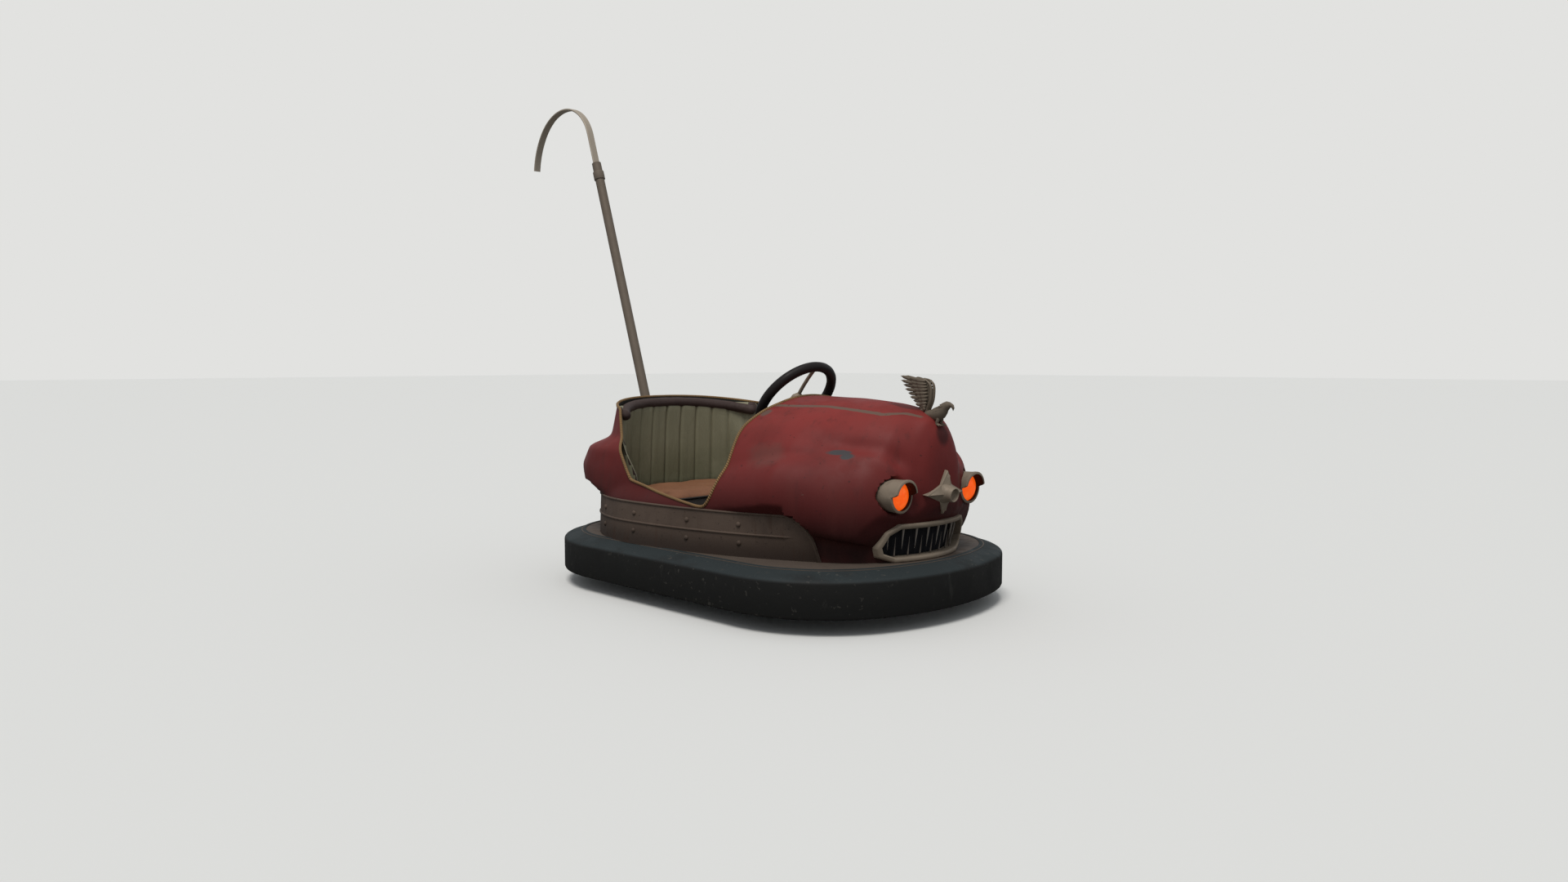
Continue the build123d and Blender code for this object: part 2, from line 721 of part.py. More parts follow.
lamp_left = lamp(1)
lamp_right = lamp(-1)
lens_left = lens(1)
lens_right = lens(-1)
with BuildPart() as lamp_housing_left:
    add(lamp_left)
with BuildPart() as lamp_housing_right:
    add(lamp_right)
with BuildPart() as lamp_lens_left:
    add(lens_left)
with BuildPart() as lamp_lens_right:
    add(lens_right)

# Nose star: four ridged arms rooted on the curved nose, and a dished boss
with BuildPart() as nose_star:
    for forward, share in ((-STAR_ROOT, 1), (SEAT_GAP, 1), (STAR_HEIGHT, STAR_CROWN)):
        with BuildSketch(Plane.YZ.offset(NOSE_FACE + forward)):
            with BuildLine():
                Polyline(
                    *(
                        (share * across, STAR_Z + share * up)
                        for across, up in (
                            (0, STAR_RISE),
                            (STAR_WAIST, STAR_WAIST),
                            (STAR_REACH, 0),
                            (STAR_WAIST, -STAR_WAIST),
                            (0, -STAR_DROP),
                            (-STAR_WAIST, -STAR_WAIST),
                            (-STAR_REACH, 0),
                            (-STAR_WAIST, STAR_WAIST),
                        )
                    ),
                    close=True,
                )
            make_face()
    loft(ruled=True)
    with BuildSketch(Plane.XZ):
        with BuildLine():
            Polyline(
                (NOSE_FACE + SEAT_GAP, STAR_Z),
                (NOSE_FACE + SEAT_GAP, STAR_Z + BOSS_FOOT),
                (NOSE_FACE + BOSS_CONE, STAR_Z + BOSS_RADIUS),
                (NOSE_FACE + BOSS_REACH, STAR_Z + BOSS_RADIUS),
                (NOSE_FACE + BOSS_REACH, STAR_Z + BOSS_RADIUS - BOSS_WALL),
                (NOSE_FACE + BOSS_REACH - BOSS_DISH, STAR_Z),
                close=True,
            )
        make_face()
    revolve(axis=Axis((0, 0, STAR_Z), (1, 0, 0)))
    add(body_clear, mode=Mode.SUBTRACT)

# Bird's body from tail to beak: forward of BIRD_X, above BIRD_Z, half width, half height
BIRD_SECTIONS = (
    (-62, -14, 8, 6),
    (-30, -2, 15, 18),
    (4, 6, 19, 26),
    (28, 26, 15, 20),
    (42, 44, 10, 12),
    (58, 49, 11, 11),
    (68, 47, 6, 7),
    (84, 38, 1.5, 2),
)
BIRD_CORNERS = ((1, 0.4), (0.4, 1), (-0.4, 1), (-1, 0.4), (-1, -0.4), (-0.4, -1), (0.4, -1), (1, -0.4))

# Wing from its root up the front edge to the top: forward and up from the shoulder
WING_FRONT = ((14, -10), (17, 48), (8, 118), (-22, 130))
WING_TIP = (-154, 136)
WING_ROOT = (-50, -4)
FEATHER_NOTCH = (22, 2)
wing_step = ((WING_ROOT[0] - WING_TIP[0]) / WING_FEATHERS, (WING_ROOT[1] - WING_TIP[1]) / WING_FEATHERS)
feather_tips = [
    (WING_TIP[0] + step * wing_step[0], WING_TIP[1] + step * wing_step[1]) for step in range(WING_FEATHERS)
]
wing_outline = list(WING_FRONT)
for tip_x, tip_z in feather_tips:
    wing_outline.append((tip_x, tip_z))
    wing_outline.append(
        (tip_x + FEATHER_NOTCH[0] + wing_step[0] / 2, tip_z + FEATHER_NOTCH[1] + wing_step[1] / 2)
    )
wing_outline.append(WING_ROOT)

# Bird ornament: a faceted body, two raised wings with feathered rear edges, and a foot on the bonnet
with BuildPart() as bonnet_bird:
    for along, up, wide, high in BIRD_SECTIONS:
        with BuildSketch(Plane.YZ.offset(BIRD_X + along)):
            with BuildLine():
                Polyline(
                    *((wide * across, BIRD_Z + up + high * rise) for across, rise in BIRD_CORNERS),
                    close=True,
                )
            make_face()
    loft(ruled=True)
    for side in (-1, 1):
        wing_plane = Plane(
            origin=(BIRD_X, side * 11, BIRD_Z + 16), x_dir=(1, 0, 0), z_dir=(0, -1, side * WING_SPREAD)
        )
        with BuildSketch(wing_plane):
            with BuildLine():
                Polyline(*wing_outline, close=True)
            make_face()
        extrude(amount=WING_WALL / 2, both=True)
    with BuildSketch(Plane.XY.offset(BIRD_Z - BIRD_ROOT)):
        with Locations((BIRD_X - 4, 0)):
            Rectangle(56, 26)
    extrude(amount=BIRD_ROOT)
    add(body_clear, mode=Mode.SUBTRACT)

# Seat: base, back, cushion and the roll along the top


def seat_back_form(inset, front_x):
    """The space inside the seat shell, moved inwards by inset."""
    with BuildPart() as form:
        for level, reach, half, corner in SEAT_BACK_LEVELS:
            with BuildSketch(Plane.XY.offset(level)):
                add(tail_outline(front_x, reach - inset, half - inset, corner - inset))
        loft(ruled=True)
    return form.part


def roll_form(radius):
    """A round roll that follows the seat shell's rim, dipping to both ends."""
    start_x, meet_x, meet_y = corner_points(ROLL_REACH, ROLL_HALF, ROLL_CORNER)
    end_y = ROLL_HALF - ROLL_CORNER + sqrt(ROLL_CORNER**2 - (ROLL_END_X + start_x) ** 2)
    with BuildPart() as form:
        with BuildLine(roll_plane) as path:
            middle = ThreePointArc(
                (ROLL_REACH - meet_x, -meet_y), (0, 0), (ROLL_REACH - meet_x, meet_y)
            )
            TangentArc(middle @ 1, roll_plane.from_local_coords((ROLL_REACH + ROLL_END_X, end_y)),
                       tangent=middle % 1)
            TangentArc(middle @ 0, roll_plane.from_local_coords((ROLL_REACH + ROLL_END_X, -end_y)),
                       tangent=(middle % 0) * -1)
        path_wire = path.wire()
        with BuildSketch(Plane(origin=path_wire @ 0, z_dir=path_wire % 0)):
            Circle(radius)
        sweep(path=path_wire)
    return form.part


roll_plane = Plane(
    origin=(-ROLL_REACH, 0, ROLL_Z),
    x_dir=(cos(radians(ROLL_DIP)), 0, -sin(radians(ROLL_DIP))),
    z_dir=(sin(radians(ROLL_DIP)), 0, cos(radians(ROLL_DIP))),
)
roll_outer = roll_form(ROLL_RADIUS)
roll_clear = roll_form(ROLL_RADIUS + SEAT_GAP)
with BuildPart() as back_roll:
    add(roll_outer)

with BuildPart() as seat_base:
    with BuildSketch(Plane.XY.offset(DECK)):
        add(
            tail_outline(
                SEAT_FRONT_X - SEAT_BASE_SETBACK, RING_REACH - 210, RING_HALF_WIDTH - 195, RING_HALF_WIDTH - 210
            )
        )
    extrude(amount=SEAT_BASE_TOP - DECK)

back_outer = seat_back_form(BODY_WALL, SEAT_BACK_FRONT)
back_inner = seat_back_form(BODY_WALL + SEAT_BACK_DEPTH, SEAT_BACK_FRONT)
with BuildPart() as seat_back:
    add(back_outer)
    add(back_inner, mode=Mode.SUBTRACT)
    with BuildSketch(Plane.XZ):
        add(cockpit_profile(SEAT_BACK_SETBACK))
    extrude(amount=RING_HALF_WIDTH, both=True, mode=Mode.SUBTRACT)
    with BuildSketch(roll_plane):
        Rectangle(4 * ROLL_REACH, 4 * ROLL_REACH)
    extrude(amount=ROLL_REACH, mode=Mode.SUBTRACT)
    add(roll_clear, mode=Mode.SUBTRACT)

cushion_space = seat_back_form(BODY_WALL + SEAT_BACK_DEPTH + SEAT_GAP, SEAT_FRONT_X)
with BuildPart() as seat_cushion:
    with BuildSketch(Plane.XY.offset(SEAT_BASE_TOP + SEAT_GAP)):
        Rectangle(4 * RING_REACH, 2 * RING_HALF_WIDTH)
    extrude(amount=CUSHION_DEPTH)
    add(cushion_space, mode=Mode.INTERSECT)
    fillet(seat_cushion.edges().group_by(Axis.Z)[-1], CUSHION_ROUND)

# Steering: a column down to the drive unit's head
column_axis = Axis((WHEEL_X, 0, WHEEL_Z), (sin(radians(WHEEL_TILT)), 0, -cos(radians(WHEEL_TILT))))
column_plane = Plane(
    origin=(WHEEL_X, 0, WHEEL_Z),
    x_dir=(0, 1, 0),
    z_dir=(sin(radians(WHEEL_TILT)), 0, -cos(radians(WHEEL_TILT))),
)
column_length = (DRIVE_X - WHEEL_X) / sin(radians(WHEEL_TILT))
head_centre_z = WHEEL_Z - column_length * cos(radians(WHEEL_TILT))
HEAD_FOOT = head_centre_z - HEAD_BOX_HEIGHT / 2

# Dash panel closing the bonnet behind the rim, with a hole for the column
with BuildPart() as dash_panel:
    with BuildSketch(Plane.YZ.offset(DASH_X)):
        with Locations((0, DASH_FOOT)):
            Rectangle(2 * RING_HALF_WIDTH, CLEAR_TOP - DASH_FOOT, align=(Align.CENTER, Align.MIN))
    extrude(amount=DASH_WALL)
    add(body_lining, mode=Mode.INTERSECT)
    with BuildSketch(column_plane):
        Circle(SHAFT_RADIUS + RUNNING_FIT + COLUMN_WALL + SEAT_GAP)
    extrude(amount=column_length, mode=Mode.SUBTRACT)

with BuildPart() as steering_shaft:
    with BuildSketch(column_plane):
        Circle(SHAFT_RADIUS)
    extrude(amount=column_length)

with BuildPart() as steering_wheel:
    with BuildSketch(column_plane * Plane.XZ * Pos(WHEEL_RADIUS, 0)):
        Circle(WHEEL_RIM_RADIUS)
    revolve(axis=column_axis)
    for turn in SPOKE_TURNS:
        spoke_dir = column_plane.x_dir * cos(radians(turn)) + column_plane.y_dir * sin(radians(turn))
        spoke_foot = column_plane.origin + spoke_dir * (WHEEL_HUB_RADIUS - SPOKE_DEPTH)
        with BuildSketch(Plane(origin=spoke_foot, x_dir=column_plane.z_dir, z_dir=spoke_dir)):
            Ellipse(SPOKE_DEPTH, SPOKE_WIDTH)
        extrude(amount=WHEEL_RADIUS - WHEEL_HUB_RADIUS)
    with BuildSketch(column_plane.offset(-WHEEL_HUB_RISE)):
        Circle(WHEEL_HUB_RADIUS)
        Circle(SHAFT_RADIUS + RUNNING_FIT, mode=Mode.SUBTRACT)
    extrude(amount=WHEEL_HUB_DEPTH)

# Column tube from the dash to the steering head, carried by a collar on the dash
with BuildPart() as column_tube:
    with BuildSketch(column_plane.offset(COLUMN_START)):
        Circle(SHAFT_RADIUS + RUNNING_FIT + COLUMN_WALL)
        Circle(SHAFT_RADIUS + RUNNING_FIT, mode=Mode.SUBTRACT)
    extrude(amount=column_length - COLUMN_START)
    with BuildSketch(Plane.XY.offset(HEAD_FOOT)):
        with Locations((DRIVE_X, 0)):
            Rectangle(HEAD_BOX, HEAD_BOX)
    extrude(amount=HEAD_BOX_HEIGHT, mode=Mode.SUBTRACT)

# Steering head: a bridge on the deck, a bearing for the stem and a gear box on top
BRIDGE_TOP = 2 * DRIVE_WHEEL_RADIUS + FORK_TOP_GAP + FORK_WALL + HEAD_BRIDGE_GAP
STEM_TOP = HEAD_FOOT + STEM_GRIP
with BuildPart() as steering_head:
    with BuildSketch(Plane.XY.offset(BRIDGE_TOP)):
        with Locations((DRIVE_X, 0)):
            Rectangle(HEAD_BRIDGE_WIDTH, 2 * BRIDGE_LEG_Y)
    extrude(amount=HEAD_BRIDGE_WALL)
    for side in (-1, 1):
        with BuildSketch(Plane.XY.offset(DECK)):
            with Locations((DRIVE_X, side * (BRIDGE_LEG_Y - HEAD_BRIDGE_WALL / 2))):
                Rectangle(HEAD_BRIDGE_WIDTH, HEAD_BRIDGE_WALL)
        extrude(amount=BRIDGE_TOP - DECK)
    with BuildSketch(Plane.XY.offset(BRIDGE_TOP)):
        with Locations((DRIVE_X, 0)):
            Circle(HEAD_RADIUS)
    extrude(amount=HEAD_FOOT - BRIDGE_TOP)
    with BuildSketch(Plane.XY.offset(HEAD_FOOT)):
        with Locations((DRIVE_X, 0)):
            Rectangle(HEAD_BOX, HEAD_BOX)
    extrude(amount=HEAD_BOX_HEIGHT)
    with BuildSketch(Plane.XY.offset(BRIDGE_TOP)):
        with Locations((DRIVE_X, 0)):
            Circle(STEM_RADIUS + RUNNING_FIT)
    extrude(amount=STEM_TOP + SEAT_GAP - BRIDGE_TOP, mode=Mode.SUBTRACT)
    with BuildSketch(column_plane):
        Circle(SHAFT_RADIUS + RUNNING_FIT)
    extrude(amount=column_length + SEAT_GAP, mode=Mode.SUBTRACT)

# Drive unit: fork with its stem, axle, motor and wheel
FORK_INNER = DRIVE_WHEEL_WIDTH / 2 + FORK_GAP
FORK_OUTER = FORK_INNER + FORK_WALL
FORK_CROWN = 2 * DRIVE_WHEEL_RADIUS + FORK_TOP_GAP
with BuildPart() as drive_fork:
    for side in (-1, 1):
        with BuildSketch(Plane.XZ.offset(-side * (FORK_INNER + FORK_WALL / 2) - FORK_WALL / 2)):
            with Locations((DRIVE_X, DRIVE_WHEEL_RADIUS)):
                Circle(FORK_REACH)
            with Locations((DRIVE_X, (DRIVE_WHEEL_RADIUS + FORK_CROWN) / 2)):
                Rectangle(2 * FORK_REACH, FORK_CROWN - DRIVE_WHEEL_RADIUS)
            with Locations((DRIVE_X, DRIVE_WHEEL_RADIUS)):
                Circle(DRIVE_AXLE_RADIUS + RUNNING_FIT, mode=Mode.SUBTRACT)
        extrude(amount=FORK_WALL)
    with BuildSketch(Plane.XY.offset(FORK_CROWN)):
        with Locations((DRIVE_X, 0)):
            Rectangle(2 * FORK_REACH, 2 * FORK_OUTER)
    extrude(amount=FORK_WALL)

with BuildPart() as drive_stem:
    with BuildSketch(Plane.XY.offset(FORK_CROWN + FORK_WALL)):
        with Locations((DRIVE_X, 0)):
            Circle(STEM_RADIUS)
    extrude(amount=STEM_TOP - FORK_CROWN - FORK_WALL)

with BuildPart() as drive_axle:
    with BuildSketch(Plane.XZ.offset(-FORK_OUTER)):
        with Locations((DRIVE_X, DRIVE_WHEEL_RADIUS)):
            Circle(DRIVE_AXLE_RADIUS)
    extrude(amount=2 * FORK_OUTER + AXLE_STUB)

with BuildPart() as drive_motor:
    with BuildSketch(Plane.XZ.offset(-FORK_OUTER)):
        with Locations((DRIVE_X, DRIVE_WHEEL_RADIUS + MOTOR_RISE)):
            Circle(MOTOR_RADIUS)
    extrude(amount=-MOTOR_LENGTH)
    fillet(drive_motor.edges().sort_by(Axis.Y)[-1], MOTOR_ROUND)


def wheel_disc(x, y, radius, width, bore):
    """A pressed wheel disc: rim band, web and hub with its bore."""
    rim = radius - TYRE_DEPTH - RUNNING_FIT
    with BuildPart() as disc:
        with BuildSketch(Plane.XZ.offset(-y - width / 2 + RIM_LIP)):
            with Locations((x, radius)):
                Circle(rim)
        extrude(amount=width - 2 * RIM_LIP)
        for face_y in (y - width / 2, y + width / 2 - WEB_SETBACK):
            with BuildSketch(Plane.XZ.offset(-face_y - WEB_SETBACK)):
                with Locations((x, radius)):
                    Circle(rim - RIM_BAND)
                    Circle(HUB_RADIUS, mode=Mode.SUBTRACT)
            extrude(amount=WEB_SETBACK, mode=Mode.SUBTRACT)
        with BuildSketch(Plane.XZ.offset(-y - width / 2)):
            with Locations((x, radius)):
                Circle(HUB_RADIUS)
        extrude(amount=width)
        with BuildSketch(Plane.XZ.offset(-y - width / 2)):
            with Locations((x, radius)):
                Circle(bore)
        extrude(amount=width, mode=Mode.SUBTRACT)
    return disc.part


def tyre(x, y, radius, width):
    """A solid rubber tyre with rounded shoulders."""
    with BuildPart() as ring:
        with BuildSketch(Plane.XZ.offset(-y - width / 2)):
            with Locations((x, radius)):
                Circle(radius)
        extrude(amount=width)
        fillet(ring.edges(), TYRE_ROUND)
        with BuildSketch(Plane.XZ.offset(-y - width / 2)):
            with Locations((x, radius)):
                Circle(radius - TYRE_DEPTH)
        extrude(amount=width, mode=Mode.SUBTRACT)
    return ring.part


drive_disc = wheel_disc(
    DRIVE_X, 0, DRIVE_WHEEL_RADIUS, DRIVE_WHEEL_WIDTH, DRIVE_AXLE_RADIUS + RUNNING_FIT
)
drive_rubber = tyre(DRIVE_X, 0, DRIVE_WHEEL_RADIUS, DRIVE_WHEEL_WIDTH)
with BuildPart() as drive_wheel:
    add(drive_disc)
with BuildPart() as drive_tyre:
    add(drive_rubber)

rear_discs = {
    side: wheel_disc(
        REAR_WHEEL_X, side * REAR_WHEEL_Y, REAR_WHEEL_RADIUS, REAR_WHEEL_WIDTH,
        REAR_AXLE_RADIUS + RUNNING_FIT,
    )
    for side in (-1, 1)
}
rear_rubbers = {
    side: tyre(REAR_WHEEL_X, side * REAR_WHEEL_Y, REAR_WHEEL_RADIUS, REAR_WHEEL_WIDTH)
    for side in (-1, 1)
}
with BuildPart() as rear_wheel_left:
    add(rear_discs[1])
with BuildPart() as rear_wheel_right:
    add(rear_discs[-1])
with BuildPart() as rear_tyre_left:
    add(rear_rubbers[1])
with BuildPart() as rear_tyre_right:
    add(rear_rubbers[-1])

# Rear axle through both brackets, with an end collar outside each wheel
AXLE_END = REAR_WHEEL_Y + REAR_WHEEL_WIDTH / 2 + AXLE_STUB
with BuildPart() as rear_axle:
    with BuildSketch(Plane.XZ.offset(-AXLE_END)):
        with Locations((REAR_WHEEL_X, REAR_WHEEL_RADIUS)):
            Circle(REAR_AXLE_RADIUS)
    extrude(amount=2 * AXLE_END)
    for low in (-AXLE_END, AXLE_END - AXLE_COLLAR):
        with BuildSketch(Plane.XZ.offset(-low - AXLE_COLLAR)):
            with Locations((REAR_WHEEL_X, REAR_WHEEL_RADIUS)):
                Circle(REAR_AXLE_RADIUS + AXLE_COLLAR)
        extrude(amount=AXLE_COLLAR)

# Side view of the pedal: forward of PEDAL_X, above the deck
PEDAL_PROFILE = ((0, 0), (20, 0), (110, 70), (106, 76), (0, 10))

# Accelerator pedal on a small foot
with BuildPart() as accelerator_pedal:
    with BuildSketch(Plane.XZ.offset(-PEDAL_Y - PEDAL_WIDTH / 2)):
        with BuildLine():
            Polyline(*((PEDAL_X + along, DECK + up) for along, up in PEDAL_PROFILE), close=True)
        make_face()
    extrude(amount=PEDAL_WIDTH)

# Pole with its socket on the tail and the flat hook that runs under the ceiling net
pole_plane = Plane(
    origin=(POLE_FOOT[0], 0, POLE_FOOT[1]),
    x_dir=(0, 1, 0),
    z_dir=(-sin(radians(POLE_LEAN)), 0, cos(radians(POLE_LEAN))),
)
with BuildPart() as pole_socket:
    with BuildSketch(pole_plane.offset(-SOCKET_DROP)):
        Circle(POLE_RADIUS + SEAT_GAP + SOCKET_WALL)
    extrude(amount=SOCKET_HEIGHT + SOCKET_DROP)
    with BuildSketch(pole_plane.offset(-SOCKET_DROP)):
        Circle(POLE_RADIUS + SEAT_GAP + SOCKET_WALL + FLANGE_WIDTH)
    extrude(amount=SOCKET_DROP + FLANGE_HEIGHT)
    with BuildSketch(pole_plane):
        Circle(POLE_RADIUS + RUNNING_FIT)
    extrude(amount=SOCKET_HEIGHT, mode=Mode.SUBTRACT)
    add(body_clear, mode=Mode.SUBTRACT)

with BuildPart() as pole_tube:
    with BuildSketch(pole_plane.offset(POLE_LIFT)):
        Circle(POLE_RADIUS)
        Circle(POLE_RADIUS - POLE_WALL, mode=Mode.SUBTRACT)
    extrude(amount=POLE_LENGTH)

hook_plane = pole_plane.offset(POLE_LENGTH + POLE_LIFT - HOOK_GRIP)
hook_foot = hook_plane.origin
hook_neck = hook_foot + hook_plane.z_dir * (HOOK_SHANK + HOOK_GRIP)
with BuildPart() as pole_hook:
    with BuildLine(Plane.XZ) as hook_path:
        start = (hook_foot.X, hook_foot.Z)
        neck, apex, shoulder, end = (
            (hook_neck.X + along, hook_neck.Z + up)
            for along, up in ((0, 0), HOOK_APEX, HOOK_SHOULDER, HOOK_END)
        )
        shank = Line(start, neck)
        rise = TangentArc(neck, apex, tangent=shank % 1)
        fall = TangentArc(apex, shoulder, tangent=rise % 1)
        tail = TangentArc(shoulder, end, tangent=fall % 1)
    with BuildSketch(Plane(origin=hook_foot, x_dir=(0, 1, 0), z_dir=hook_plane.z_dir)):
        Rectangle(HOOK_WIDTH, HOOK_WALL)
    sweep(path=hook_path.line)

PIECES = {
    "bumper_ring": bumper_ring,
    "bumper_hoop": bumper_hoop,
    "chassis_rails": chassis_rails,
    "cross_members": cross_members,
    "axle_brackets": axle_brackets,
    "deck_plate": deck_plate,
    "body_shell": body_shell,
    "skirt_band": skirt_band,
    "grille_frame": grille_frame,
    "grille_back": grille_back,
    "grille_teeth_upper": grille_teeth_upper,
    "grille_teeth_lower": grille_teeth_lower,
    "lamp_housing_left": lamp_housing_left,
    "lamp_housing_right": lamp_housing_right,
    "lamp_lens_left": lamp_lens_left,
    "lamp_lens_right": lamp_lens_right,
    "nose_star": nose_star,
    "bonnet_bird": bonnet_bird,
    "seat_base": seat_base,
    "seat_cushion": seat_cushion,
    "seat_back": seat_back,
    "back_roll": back_roll,
    "dash_panel": dash_panel,
    "column_tube": column_tube,
    "steering_head": steering_head,
    "steering_shaft": steering_shaft,
    "steering_wheel": steering_wheel,
    "drive_fork": drive_fork,
    "drive_stem": drive_stem,
    "drive_axle": drive_axle,
    "drive_motor": drive_motor,
    "drive_wheel": drive_wheel,
    "drive_tyre": drive_tyre,
    "rear_axle": rear_axle,
    "rear_wheel_left": rear_wheel_left,
    "rear_wheel_right": rear_wheel_right,
    "rear_tyre_left": rear_tyre_left,
    "rear_tyre_right": rear_tyre_right,
    "accelerator_pedal": accelerator_pedal,
    "pole_socket": pole_socket,
    "pole_tube": pole_tube,
    "pole_hook": pole_hook,
}

for name, piece in PIECES.items():
    piece.part.label = name
    export_step(piece.part, f"parts/{name}.step")
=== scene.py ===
import json
from math import asin, atan2, cos, hypot, pi, radians, sin, sqrt, tan, tanh

import bmesh
import bpy
import numpy as np
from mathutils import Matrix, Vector, noise
from mathutils.bvhtree import BVHTree


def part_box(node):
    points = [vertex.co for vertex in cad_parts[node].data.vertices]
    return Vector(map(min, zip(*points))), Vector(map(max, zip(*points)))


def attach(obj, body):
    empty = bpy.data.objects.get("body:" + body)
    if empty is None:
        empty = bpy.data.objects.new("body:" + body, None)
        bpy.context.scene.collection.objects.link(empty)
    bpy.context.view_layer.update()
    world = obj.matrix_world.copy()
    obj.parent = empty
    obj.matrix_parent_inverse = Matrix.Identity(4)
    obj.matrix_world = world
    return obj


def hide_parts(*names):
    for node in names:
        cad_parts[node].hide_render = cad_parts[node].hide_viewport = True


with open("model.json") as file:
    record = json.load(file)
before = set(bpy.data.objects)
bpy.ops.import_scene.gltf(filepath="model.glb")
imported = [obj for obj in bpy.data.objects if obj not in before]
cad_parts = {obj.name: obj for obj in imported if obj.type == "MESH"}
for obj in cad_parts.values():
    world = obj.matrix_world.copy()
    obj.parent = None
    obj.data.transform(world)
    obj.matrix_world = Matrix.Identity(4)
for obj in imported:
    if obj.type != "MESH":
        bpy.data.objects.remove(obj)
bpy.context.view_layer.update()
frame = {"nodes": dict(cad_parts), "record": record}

nodes = frame["nodes"]
scene = bpy.context.scene

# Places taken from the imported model, in metres
RING_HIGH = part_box("bumper_ring")[1]
REACH = RING_HIGH.x
HALF_WIDTH = RING_HIGH.y
RING_CORNER = 0.490
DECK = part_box("deck_plate")[1].z
NOSE_FACE = REACH - 0.076
NOSE_CENTRE = REACH - 0.535
CHEEK = radians(67)
BODY_WALL = 0.006
LAMP_LOW, LAMP_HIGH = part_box("lamp_housing_left")
LAMP_Z = (LAMP_LOW.z + LAMP_HIGH.z) / 2 + 0.006
LAMP_Y = (LAMP_LOW.y + LAMP_HIGH.y) / 2 - 0.006
LAMP_RADIUS = (LAMP_HIGH.z - LAMP_LOW.z) / 2
LAMP_BACK = LAMP_LOW.x - 0.026
HOOD_FRONT = LAMP_HIGH.x - 0.046
LAMP_FRONT = NOSE_FACE - 0.030
LENS_SEAT = LAMP_FRONT - 0.026
LAMP_HOLE = 0.055
BAND_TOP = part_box("skirt_band")[1].z
BAND_HEIGHT = 0.168
BEAD_Z = DECK + 0.086
BEAD_FRONT = REACH - 0.450
BEAD_WIDTH = 0.009
BEAD_HEIGHT = 0.0045
BAND_PROUD = 0.0053
BAND_SHEET = 0.005
TOOTH_PITCH = 2 * asin(0.191 / 0.39917) / 7
CUSHION_LOW, CUSHION_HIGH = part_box("seat_cushion")
CUSHION_SETBACK = 0.10
CUSHION_CORNER = 0.3437
WELT_Z = CUSHION_HIGH.z - 0.034
BACK_LOW, BACK_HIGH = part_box("seat_back")
WHEEL_PLACE = Vector((REACH - 0.825, 0, DECK + 0.566))
WHEEL_TILT = radians(49)
POLE_FOOT = Vector((0.143 - REACH, 0, DECK + 0.381))
POLE_AXIS = Vector((-sin(radians(18.1)), 0, cos(radians(18.1))))
POLE_LENGTH = 1.350
POLE_RADIUS = 0.022


# Camera, floor and light


def set_camera():
    """The photograph's view: front right of the car, a little above its bonnet."""
    lens = bpy.data.cameras.new("photo_camera")
    lens.sensor_width = 36
    lens.lens = 36 * 1356 / 1920
    camera = bpy.data.objects.new("photo_camera", lens)
    camera.location = (3.272, -3.233, 0.940)
    camera.rotation_mode = "QUATERNION"
    camera.rotation_quaternion = Vector((-0.7034, 0.7071, -0.0724)).to_track_quat("-Z", "Y")
    scene.collection.objects.link(camera)
    scene.camera = camera


def linear(red, green, blue):
    """A colour written as 0 to 255 screen values, for a shader's socket."""
    shares = (red / 255, green / 255, blue / 255)
    return (*(c / 12.92 if c <= 0.04045 else ((c + 0.055) / 1.055) ** 2.4 for c in shares), 1.0)


def shaded(colour, share):
    """A shader's colour made darker or paler by a share."""
    return (*(min(1, c * share) for c in colour[:3]), 1)


def set_world():
    """Plain soft light from all round, over a pale background."""
    world = bpy.data.worlds.new("soft_room")
    scene.world = world
    world.use_nodes = True
    tree = world.node_tree
    tree.nodes.clear()
    out = tree.nodes.new("ShaderNodeOutputWorld")
    room = tree.nodes.new("ShaderNodeBackground")
    pale = tree.nodes.new("ShaderNodeBackground")
    mixed = tree.nodes.new("ShaderNodeMixShader")
    path = tree.nodes.new("ShaderNodeLightPath")
    room.inputs["Color"].default_value = (0.93, 0.97, 1.0, 1)
    room.inputs["Strength"].default_value = 0.42
    pale.inputs["Color"].default_value = linear(226, 226, 224)
    tree.links.new(path.outputs["Is Camera Ray"], mixed.inputs[0])
    tree.links.new(room.outputs[0], mixed.inputs[1])
    tree.links.new(pale.outputs[0], mixed.inputs[2])
    tree.links.new(mixed.outputs[0], out.inputs[0])


def add_sun(name, heading, power, spread):
    """A distant soft light that shines along heading."""
    light = bpy.data.lights.new(name, "SUN")
    light.energy = power
    light.angle = spread
    light.color = (1, 0.975, 0.94)
    holder = bpy.data.objects.new(name, light)
    holder.rotation_mode = "QUATERNION"
    holder.rotation_quaternion = Vector(heading).to_track_quat("-Z", "Y")
    scene.collection.objects.link(holder)


def set_stage():
    """Floor, world and lights."""
    scene.view_settings.view_transform = "Standard"
    set_world()
    add_sun("high_window", (-0.25, 0.42, -1), 1.65, radians(24))
    mesh = bpy.data.meshes.new("floor")
    mesh.from_pydata([(-60, -60, 0), (60, -60, 0), (60, 60, 0), (-60, 60, 0)], [], [(0, 1, 2, 3)])
    floor = bpy.data.objects.new("floor", mesh)
    scene.collection.objects.link(floor)
    # Pale to the camera, darker to light that bounces, so that the car's low parts stay dark
    plain = Finish("pale_floor", linear(110, 110, 108), 0.95)
    path = plain.node("LightPath")
    plain.tint(path.outputs["Is Camera Ray"], linear(236, 236, 234))
    mesh.materials.append(plain.done())


# Materials: each is a small tree of noise, masks and ramps on the object's own coordinates


